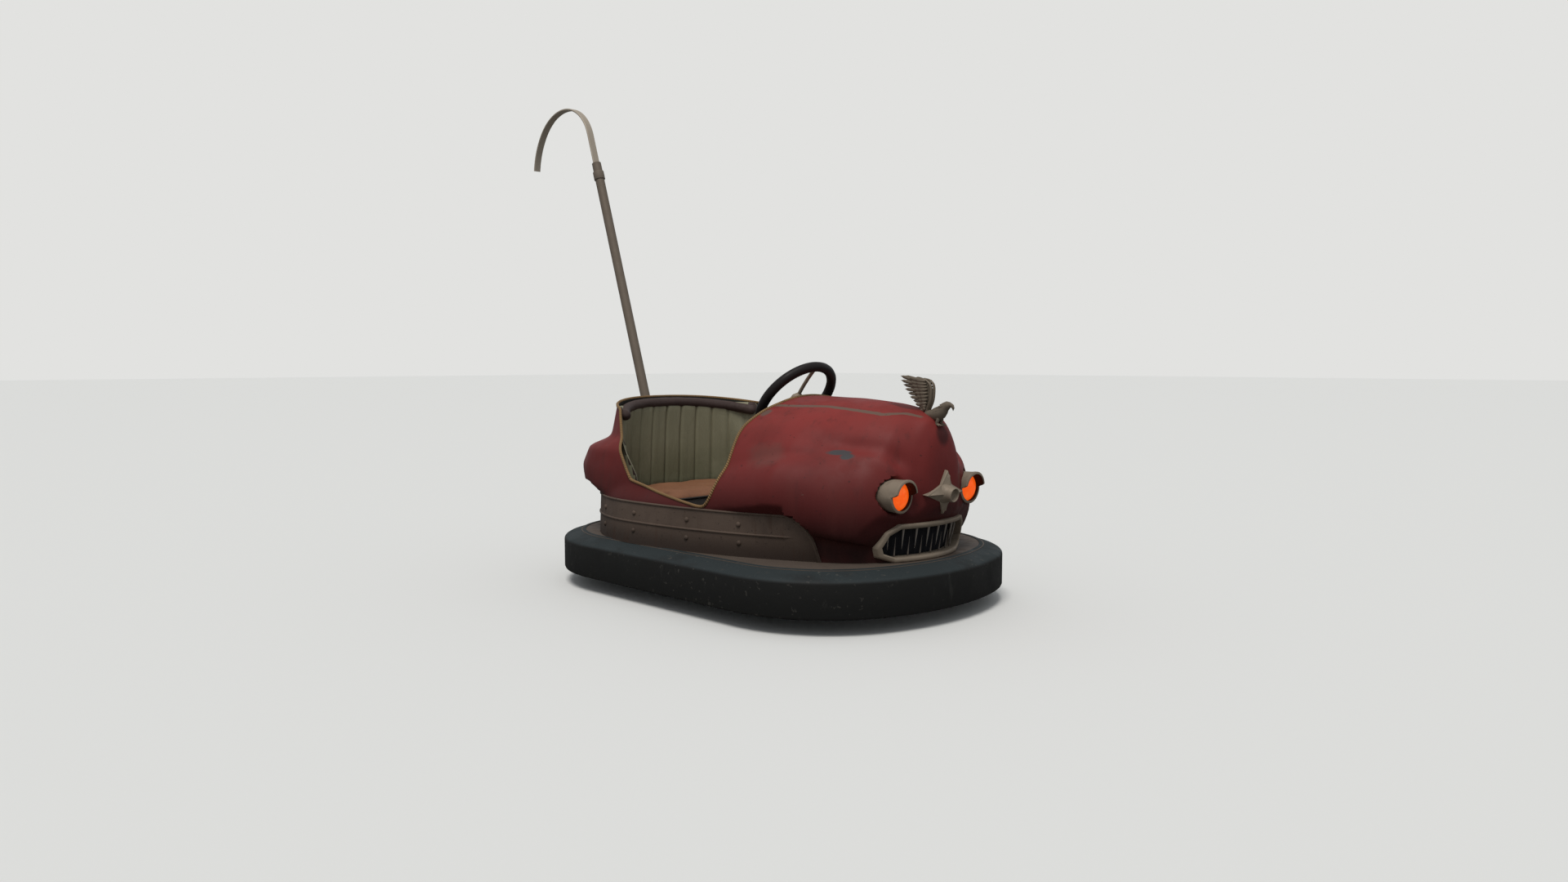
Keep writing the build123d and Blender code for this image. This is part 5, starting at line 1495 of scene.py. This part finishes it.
def feather(root, tip, wide, bow, thick, side, lift=0.0):
    """One feather: a long leaf from root to tip, keeled along its middle."""
    root, tip = Vector(root), Vector(tip)
    ahead = (tip - root).normalized()
    flat = Vector((0, 1, 0))
    across = ahead.cross(flat).normalized()
    section = ((-1, 0.0), (-0.5, 0.7), (0, 1.1), (0.5, 0.7), (1, 0.0), (0.5, -0.6), (0, -0.6), (-0.5, -0.6))
    rows = []
    for i in range(9):
        t = i / 8
        half = leaf_half(t, wide, 0.62, 0.45, 0.75)
        out = side * (lift * t + 0.003 * sin(pi * t))
        middle = root.lerp(tip, t) + across * (bow * sin(pi * t)) + flat * out
        rows.append([middle + across * (half * a) + flat * (side * thick * b) for a, b in section])
    return rows


def make_wing(side):
    """One raised wing: a thick leading edge and three overlapping rows of feathers that fan back."""
    y = side * 0.007

    def at(x, z, out=0.0):
        """A point of the wing's plane, which leans outwards a little."""
        near = held((x - 0.70) / 0.14)
        x -= 0.016 * (z - 0.75) / 0.1 + near * (0.032 - 0.012 * (z - 0.765) / 0.1)
        return (x, y + side * (0.004 * (z - 0.765) / 0.1 + out), z)

    def edge_section(t):
        """The leading edge's section, slimmer towards its tip."""
        return [(0.0085 * (1 - 0.6 * t) * a, 0.006 * (1 - 0.5 * t) * b) for a, b in circle(1, 8)]

    edge = ((0.826, 0.752), (0.833, 0.766), (0.850, 0.800), (0.853, 0.848), (0.834, 0.868), (0.806, 0.874))
    path = curve_through([at(*p) for p in edge], 5)
    pieces = [sweep("wing_edge", path, edge_section, "bird_metal", across=(0, 1, 0))]
    # Long feathers from the wrist down to the rump, then two shorter rows over them
    fan = (
        ((0.835, 0.866), (0.700, 0.884)), ((0.838, 0.856), (0.702, 0.868)), ((0.840, 0.846), (0.708, 0.852)),
        ((0.842, 0.836), (0.718, 0.836)), ((0.842, 0.824), (0.729, 0.821)), ((0.842, 0.812), (0.741, 0.807)),
        ((0.840, 0.800), (0.754, 0.794)), ((0.836, 0.788), (0.768, 0.781)), ((0.832, 0.778), (0.782, 0.769)),
        ((0.828, 0.770), (0.794, 0.760)),
    )
    for i, (root, tip) in enumerate(fan):
        rows = feather(at(*root), at(*tip), 0.0062, 0.004, 0.0024, side, 0.004 * (i % 2))
        pieces.append(skin("feather", rows, "bird_metal"))
    for share, out in ((0.62, 0.0050), (0.36, 0.0095)):
        for root, tip in fan:
            short = (root[0] + (tip[0] - root[0]) * share, root[1] + (tip[1] - root[1]) * share)
            rows = feather(at(*root, out), at(*short, out), 0.0070, 0.002, 0.002, side)
            pieces.append(skin("covert", rows, "bird_metal"))
    # A closed blade behind the feathers keeps the wing from showing gaps
    outline = (
        (0.832, 0.766), (0.850, 0.83), (0.83, 0.868), (0.745, 0.874), (0.748, 0.838), (0.772, 0.805),
        (0.80, 0.775),
    )
    blade = [at(*p) for p in outline]
    rows = [[Vector((x, yy + side * off, z)) for x, yy, z in blade] for off in (-0.001, 0.001)]
    pieces.append(skin("wing_blade", rows, "bird_metal"))
    return pieces


def make_bird():
    """Body, ruff, head, beak, legs, tail and wings as one ornament."""
    body = (
        (0.764, 0.738, 0.004, 0.004), (0.778, 0.741, 0.014, 0.011), (0.797, 0.743, 0.019, 0.017),
        (0.818, 0.743, 0.021, 0.020), (0.838, 0.746, 0.024, 0.026), (0.855, 0.754, 0.022, 0.025),
        (0.866, 0.764, 0.018, 0.021), (0.874, 0.774, 0.015, 0.018), (0.884, 0.779, 0.014, 0.016),
        (0.893, 0.780, 0.011, 0.012), (0.899, 0.778, 0.004, 0.005),
    )
    beak = (
        (0.887, 0.781, 0.009, 0.010), (0.898, 0.781, 0.0075, 0.0085), (0.906, 0.777, 0.0055, 0.007),
        (0.910, 0.769, 0.0036, 0.0050), (0.909, 0.761, 0.0012, 0.002),
    )
    pieces = [
        skin("bird_body", ellipse_rows(body), "bird_metal"),
        skin("beak", ellipse_rows(beak, 10), "bird_metal"),
    ]

    def taper(name, path, radius, loss, count):
        """A round piece along a path, slimmer by loss at its end."""
        pieces.append(sweep(name, path, lambda t: circle(radius * (1 - loss * t), count), "bird_metal"))

    # Ragged ruff round the neck
    for row in range(3):
        for i in range(9):
            angle = 2 * pi * (i + 0.5 * row) / 9
            across, up = 0.0125 * cos(angle) * (1 + 0.15 * row), 0.0125 * sin(angle)
            base = Vector((0.872 - 0.010 * row, across, 0.772 - 0.008 * row + up))
            tip = base + Vector((-0.016, 0.008 * cos(angle), 0.006 * sin(angle) - 0.006))
            taper("ruff", [base.lerp(tip, t) for t in (0, 0.5, 1)], 0.0042, 0.85, 5)
    for side in (-1, 1):
        pieces += make_wing(side)
        leg = ((0.846, 0.010, 0.742), (0.851, 0.012, 0.728), (0.846, 0.013, 0.714), (0.846, 0.013, 0.700))
        taper("leg", curve_through([(x, side * y, z) for x, y, z in leg], 3), 0.0075, 0.4, 8)
        for turn in (-0.5, 0.0, 0.5):
            foot = Vector((0.846, side * 0.013, 0.712))
            toe = foot + Vector((0.020 * cos(turn), 0.020 * sin(turn), -0.006))
            taper("toe", [foot, foot.lerp(toe, 0.6), toe], 0.0042, 0.6, 6)
    for i in range(5):
        turn = radians(-24 + 12 * i)
        root = Vector((0.806, 0, 0.742))
        tip = root + Vector((-0.052 * cos(turn), 0.052 * sin(turn), -0.012))
        pieces.append(skin("tail_feather", flat_leaf(root, tip, 0.008), "bird_metal"))
    bird = join("perching_bird", pieces)
    soften_by_angle(bird, 50)
    return finish_piece(bird, stands_for=["bonnet_bird"])


def flat_leaf(root, tip, wide):
    """A leaf that lies flat, for the tail."""
    ahead = (tip - root).normalized()
    across = ahead.cross(Vector((0, 0, 1))).normalized()
    up = across.cross(ahead)
    rows = []
    for i in range(7):
        half = leaf_half(i / 6, wide, 0.6, 0.4, 0.8)
        middle = root.lerp(tip, i / 6)
        rows.append([middle + across * (half * a) + up * (0.0018 * b) for a, b in circle(1, 8)])
    return rows


# Steering wheel


def make_steering_wheel():
    """A black rim with three round metal spokes, a hub and a nut."""
    axis = Vector((sin(WHEEL_TILT), 0, -cos(WHEEL_TILT)))
    side = Vector((0, 1, 0))
    up = Vector((cos(WHEEL_TILT), 0, sin(WHEEL_TILT)))
    radius, tube = 0.173, 0.020
    rows = []
    for a, b in circle(radius, 72):
        place = WHEEL_PLACE + side * a + up * b
        away = (place - WHEEL_PLACE).normalized()
        rows.append([place + away * (tube * c) + axis * (tube * d) for c, d in circle(1, 14)])
    rim = skin("wheel_rim", rows, "wheel_plastic", ring=True)
    profile = (
        (-0.018, 0.0005), (-0.018, 0.026), (-0.004, 0.030), (0.002, 0.030), (0.008, 0.027), (0.011, 0.020),
        (0.011, 0.011), (0.019, 0.0105), (0.020, 0.009), (0.020, 0.0005),
    )
    parts = [turned("hub", profile, WHEEL_PLACE, -axis, "worn_trim", 24)]
    for turn in (90, 210, 330):
        away = side * cos(radians(turn)) + up * sin(radians(turn))
        start, end = WHEEL_PLACE + away * 0.018, WHEEL_PLACE + away * (radius - 0.004)
        spoke = [start.lerp(end, t) - axis * (0.004 * sin(pi * t)) for t in (0, 0.15, 0.35, 0.6, 0.8, 1)]
        parts.append(sweep("spoke", spoke, lambda t: circle(0.0075, 10), "worn_trim"))
    metal = join("wheel_spokes", parts)
    soften_by_angle(metal, 40)
    whole = join("steering_rim", [rim, metal])
    return finish_piece(whole, "steering", ["steering_wheel"])


# Seat


# Height above the deck of the seat shell's line that the pad is measured along
PAD_LEVEL = 0.45


def seat_inner_line(inset, front=-0.30, fine=3):
    """Plan line along the inside of the seat's shell, from right front round the tail to left front."""
    tail, side, middle = insets_at(SEAT_LEVELS, PAD_LEVEL)
    half = HALF_WIDTH - side - inset
    half_line = tail_half(REACH - tail - inset, half, half - middle, fine)
    end = half_line[-1]
    if end[0] < front:
        half_line = half_line + [(front, end[1])]
    else:
        half_line = [p for p in half_line if p[0] < front]
    return [(x, -y) for x, y in half_line[::-1]] + half_line[1:]


def pad_rim(z):
    """How far forward the seat's slanting rim stands at a height."""
    return float(np.interp(z - DECK, (0.243, 0.416, 0.519), (-0.325, -0.474, -0.535)))


def make_seat_back():
    """The channelled pad inside the seat shell: closed, with deep seams, thinner towards its ends."""
    low_z, high_z = BACK_LOW.z + 0.05, BACK_HIGH.z
    pitch = 0.088
    base = even_path([Vector((x, y, 0)) for x, y in seat_inner_line(0.006)], 0.0052)
    count = len(base)
    lengths = run_lengths(base)
    middle = lengths[-1] / 2
    level = insets_at(SEAT_LEVELS, PAD_LEVEL)
    rows = []
    for share in (0, 0.012, 0.03, 0.1, 0.2, 0.3, 0.4, 0.5, 0.6, 0.7, 0.8, 0.9, 0.955, 0.985, 1.0):
        z = low_z + (high_z - low_z) * share
        shell = insets_at(SEAT_LEVELS, z - DECK)
        ends = sqrt(max(0.0, 1 - max(0.0, abs(share - 0.5) * 2 - 0.93) ** 2 / 0.0049 * 0.98))
        outer, inner = [], []
        # The pad's ends follow the slanting rim of the cockpit
        first = next(i for i, p in enumerate(base) if p.x < pad_rim(z))
        for i in range(count):
            i = held(i, first, count - 1 - first)
            p = base[i]
            before, after = neighbours(base, i)
            ahead = (after - before).normalized()
            inward = Vector((-ahead.y, ahead.x, 0))
            if inward.dot(p) > 0:
                inward = -inward
            run = lengths[i] - middle
            near_end = min(lengths[i], lengths[-1] - lengths[i]) - lengths[first]
            thick = 0.016 + 0.032 * min(1.0, near_end / 0.16)
            thick *= sqrt(max(0.02, 1 - max(0.0, (0.030 - near_end) / 0.031) ** 2))
            seam = (run / pitch) % 1.0
            seam = min(seam, 1 - seam) * pitch
            puff = sqrt(max(0.0, 1 - (1 - min(1.0, seam / 0.016)) ** 2.2))
            deep = (0.72 + 0.28 * puff) * (0.6 + 0.4 * ends)
            back_set = (shell[0] - level[0]) * min(1.0, abs(p.x) / 0.7)
            side_set = (shell[1] - level[1]) * min(1.0, abs(p.y) / 0.4)
            shift = inward * (0.5 * (abs(inward.x) * back_set + abs(inward.y) * side_set) + 0.001)
            start = Vector((p.x, p.y, z)) + shift
            wrinkle = 0.0025 * noise.noise(Vector((run * 14, z * 9, 3.1)))
            wrinkle += 0.0012 * noise.noise(Vector((run * 40, z * 24, 7)))
            outer.append(start)
            inner.append(start + inward * (thick * deep + wrinkle))
        rows.append((outer, inner))
    loop = [[r[1][i] for r in rows] + [r[0][i] for r in rows[::-1]] for i in range(count)]
    pad = skin("seat_back_pad", loop, "olive_leather")
    pad.data.materials.append(finishes["roll_leather"])
    for face in pad.data.polygons:
        if face.center.x > pad_rim(face.center.z) - 0.016:
            face.material_index = 1
    soften_by_angle(pad, 60)
    return finish_piece(pad, stands_for=["seat_back"])


ROLL_STEP = 0.008


def roll_path():
    """The top roll's middle line on its dipping plane, from right to left."""
    half = HALF_WIDTH - 0.237
    corner = half - 0.061
    reach = REACH - 0.234
    centre_x = sqrt((reach - corner) ** 2 - (half - corner) ** 2)
    end_x = 0.440 - REACH
    plan = [p for p in tail_half(reach, half, corner, 3) if p[0] < end_x]
    end_y = half - corner + sqrt(corner**2 - (end_x + centre_x) ** 2) if end_x < -centre_x else half
    plan.append((end_x, end_y))
    plan = [(x, -y) for x, y in plan[::-1]] + plan[1:]
    dip = tan(radians(12))
    return even_path([Vector((x, y, DECK + 0.529 - (x + reach) * dip)) for x, y in plan], ROLL_STEP)


def make_roll():
    """The dark padded roll along the top of the seat back, slightly creased."""
    path = roll_path()
    rows = []
    for i, p in enumerate(path):
        before, after = neighbours(path, i)
        ahead = (after - before).normalized()
        side = ahead.cross(Vector((0, 0, 1))).normalized()
        up = side.cross(ahead)
        end = min(i, len(path) - 1 - i) * ROLL_STEP
        size = 0.0225 * sqrt(max(0.01, 1 - max(0.0, 1 - end / 0.022) ** 2))
        row = []
        for a, b in circle(1, 18):
            crease = 1 + 0.05 * noise.noise(Vector((i * 0.13, a * 1.2, b * 1.2)))
            crease += 0.03 * noise.noise(Vector((i * 0.5, a, b)))
            row.append(p + side * (size * a * crease) + up * (size * b * crease))
        rows.append(row)
    roll = skin("shoulder_roll", rows, "roll_leather")
    return finish_piece(roll, stands_for=["back_roll"])


def cushion_half(inset, fine=2):
    """Left half of the cushion's plan line, from its middle at the back to its middle in front."""
    reach, half = -CUSHION_LOW.x - inset, CUSHION_HIGH.y - inset
    front = CUSHION_HIGH.x - CUSHION_SETBACK - inset
    rear = [p for p in tail_half(reach, half, CUSHION_CORNER - inset, fine) if p[0] < front - 0.02]
    soft = 0.018
    turns = [pi / 8 * t for t in range(5)]
    rounded = [(front - soft + soft * sin(turn), half - soft + soft * cos(turn)) for turn in turns]
    return rear + rounded + [(front, half * share) for share in (0.8, 0.6, 0.4, 0.2, 0.0)]


def cushion_rows():
    """The cushion as a closed block a little smaller than its final size, from its foot to its top."""
    low, high = CUSHION_LOW.z, CUSHION_HIGH.z - 0.014
    levels = (
        (low, 0.014), (low + 0.002, 0.010), (low + 0.012, 0.008),
        (high - 0.016, 0.008), (high - 0.004, 0.012), (high, 0.022),
    )
    rows = []
    for z, inset in levels:
        line = even_path(both_halves(cushion_half(inset)), 0.02, True)
        rows.append([Vector((p.x, p.y, z)) for p in even_path(line, None, True, 140)])
    return rows


def swell_cloth(pad):
    """Blows a pad up by a cloth simulation that holds its foot, with a soft cap on the swelling."""
    start = [v.co.copy() for v in pad.data.vertices]
    pinned = pad.vertex_groups.new(name="pinned")
    pinned.add([v.index for v in pad.data.vertices if v.co.z < CUSHION_LOW.z + 0.012], 1.0, "REPLACE")
    cloth = pad.modifiers.new("cloth", "CLOTH")
    for key, value in {
        "quality": 5,
        "mass": 0.3,
        "tension_stiffness": 12,
        "compression_stiffness": 12,
        "shear_stiffness": 6,
        "bending_stiffness": 1.5,
        "use_pressure": True,
        "uniform_pressure_force": 4,
        "vertex_group_mass": "pinned",
    }.items():
        setattr(cloth.settings, key, value)
    cloth.settings.effector_weights.gravity = 0
    cloth.point_cache.frame_start = 1
    cloth.point_cache.frame_end = 20
    for moment in range(1, 21):
        scene.frame_set(moment)
    bake(pad)
    scene.frame_set(1)
    cap = 0.016
    for vertex, old in zip(pad.data.vertices, start):
        move = vertex.co - old
        far = move.length
        if far > 1e-6:
            vertex.co = old + move * (cap * tanh(far / cap) / far)


def make_cushion():
    """The seat cushion, blown up by a cloth simulation, tan on top with dark sides and a welt."""
    pad = skin("seat_pad", cushion_rows(), "tan_leather")
    remesh = pad.modifiers.new("even", "REMESH")
    remesh.mode = "VOXEL"
    remesh.voxel_size = 0.010
    remesh.use_smooth_shade = True
    bake(pad)
    swell_cloth(pad)
    for vertex in pad.data.vertices:
        place = vertex.co
        if place.z > CUSHION_LOW.z + 0.05:
            vertex.co.z += 0.0035 * noise.noise(place * 9) + 0.0015 * noise.noise(place * 26)
    pad.data.materials.append(finishes["dark_boxing"])
    pad.data.shade_smooth()
    for face in pad.data.polygons:
        if face.center.z < WELT_Z:
            face.material_index = 1
    pad.data.update()
    finish_piece(pad, stands_for=["seat_cushion"])
    # The welt where top and boxing meet, laid on the pad's own side
    lines = []
    tree = bvh_of(pad)
    middle = Vector((-0.42, 0, WELT_Z))
    for p in even_path(both_halves(cushion_half(0.0)), None, True, 150):
        away = (Vector((p.x, p.y, WELT_Z)) - middle).normalized()
        hit = tree.ray_cast(middle, away, 1.0)[0]
        if hit:
            lines.append(hit + away * 0.0015)
    section = circle(0.0045, 8)
    welt = sweep("seat_welt", relaxed(lines, 2, True), lambda t: section, "dark_boxing", cyclic=True)
    return finish_piece(welt)


def bvh_of(piece):
    """A search tree over a piece's faces."""
    work = bmesh.new()
    work.from_mesh(piece.data)
    tree = BVHTree.FromBMesh(work)
    work.free()
    return tree


# Pole and hook


def make_pole():
    """The trolley pole with a ferrule near its top."""
    length, radius = POLE_LENGTH, POLE_RADIUS
    profile = [(0.0, 0.0005), (0.0, radius - 0.001), (0.001, radius)]
    for t in np.linspace(0, 1, 30):
        profile.append((0.05 + 1.19 * t, radius + 0.0003 * noise.noise(Vector((t * 30, 0, 0)))))
    profile += [(1.262, radius), (1.263, 0.0255), (1.2655, 0.0265), (1.300, 0.0265), (1.303, 0.0255)]
    profile += [(1.304, radius), (length - 0.002, radius), (length, radius - 0.002), (length, 0.0005)]
    pole = turned("trolley_pole", profile, POLE_FOOT + POLE_AXIS * 0.015, POLE_AXIS, "pole_metal", 28)
    soften_by_angle(pole, 35)
    finish_piece(pole, stands_for=["pole_tube"])


def make_hook():
    """The flat strip bent over at the top, with rounded edges."""
    foot = POLE_FOOT + POLE_AXIS * 1.305
    neck = foot + POLE_AXIS * 0.210
    line = [foot.lerp(neck, t) for t in (0, 0.25, 0.5, 0.75, 1)]
    here, heading = (neck.x, neck.z), (POLE_AXIS.x, POLE_AXIS.z)
    for x, z in ((-0.184, 0.147), (-0.402, 0.055), (-0.474, -0.121)):
        goal = (neck.x + x, neck.z + z)
        arc = arc_leaving(here, heading, goal, 16)
        line += [Vector((p[0], 0, p[1])) for p in arc[1:]]
        # The next arc leaves where this one's last step heads, turned on by half a step's turn
        before, last = (atan2(b[1] - a[1], b[0] - a[0]) for a, b in zip(arc[-3:], arc[-2:]))
        onward = last + ((last - before + pi) % (2 * pi) - pi) / 2
        here, heading = goal, (cos(onward), sin(onward))
    wide, thick, soft = 0.018, 0.0045, 0.0025
    section = [(wide - soft, -thick), (wide, -thick + soft), (wide, thick - soft), (wide - soft, thick)]
    section += [(-a, -b) for a, b in section]
    strip = sweep("hook_strip", line, lambda t: section, "hook_metal", across=(0, 1, 0))
    soften_by_angle(strip, 40)
    finish_piece(strip, stands_for=["pole_hook"])


def make_dash_screws():
    """Screws along the foot of the dash."""
    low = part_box("dash_panel")[0]
    back = Vector((-1, 0, 0))
    places = [(Vector((low.x, y, low.z + 0.035)), back) for y in (-0.24, -0.08, 0.08, 0.24)]
    screws = scatter("dash_screws", "dome", "frame_steel", places, 0.006, 0.003)
    finish_piece(screws)


set_camera()
finishes = make_materials()
set_stage()
dress_nodes()
make_piping(make_body())
make_ring()
make_band()
make_rivets()
make_grille()
make_lamp(1, "left")
make_lamp(-1, "right")
make_star()
make_bird()
make_steering_wheel()
make_seat_back()
make_roll()
make_cushion()
make_pole()
make_hook()
make_dash_screws()
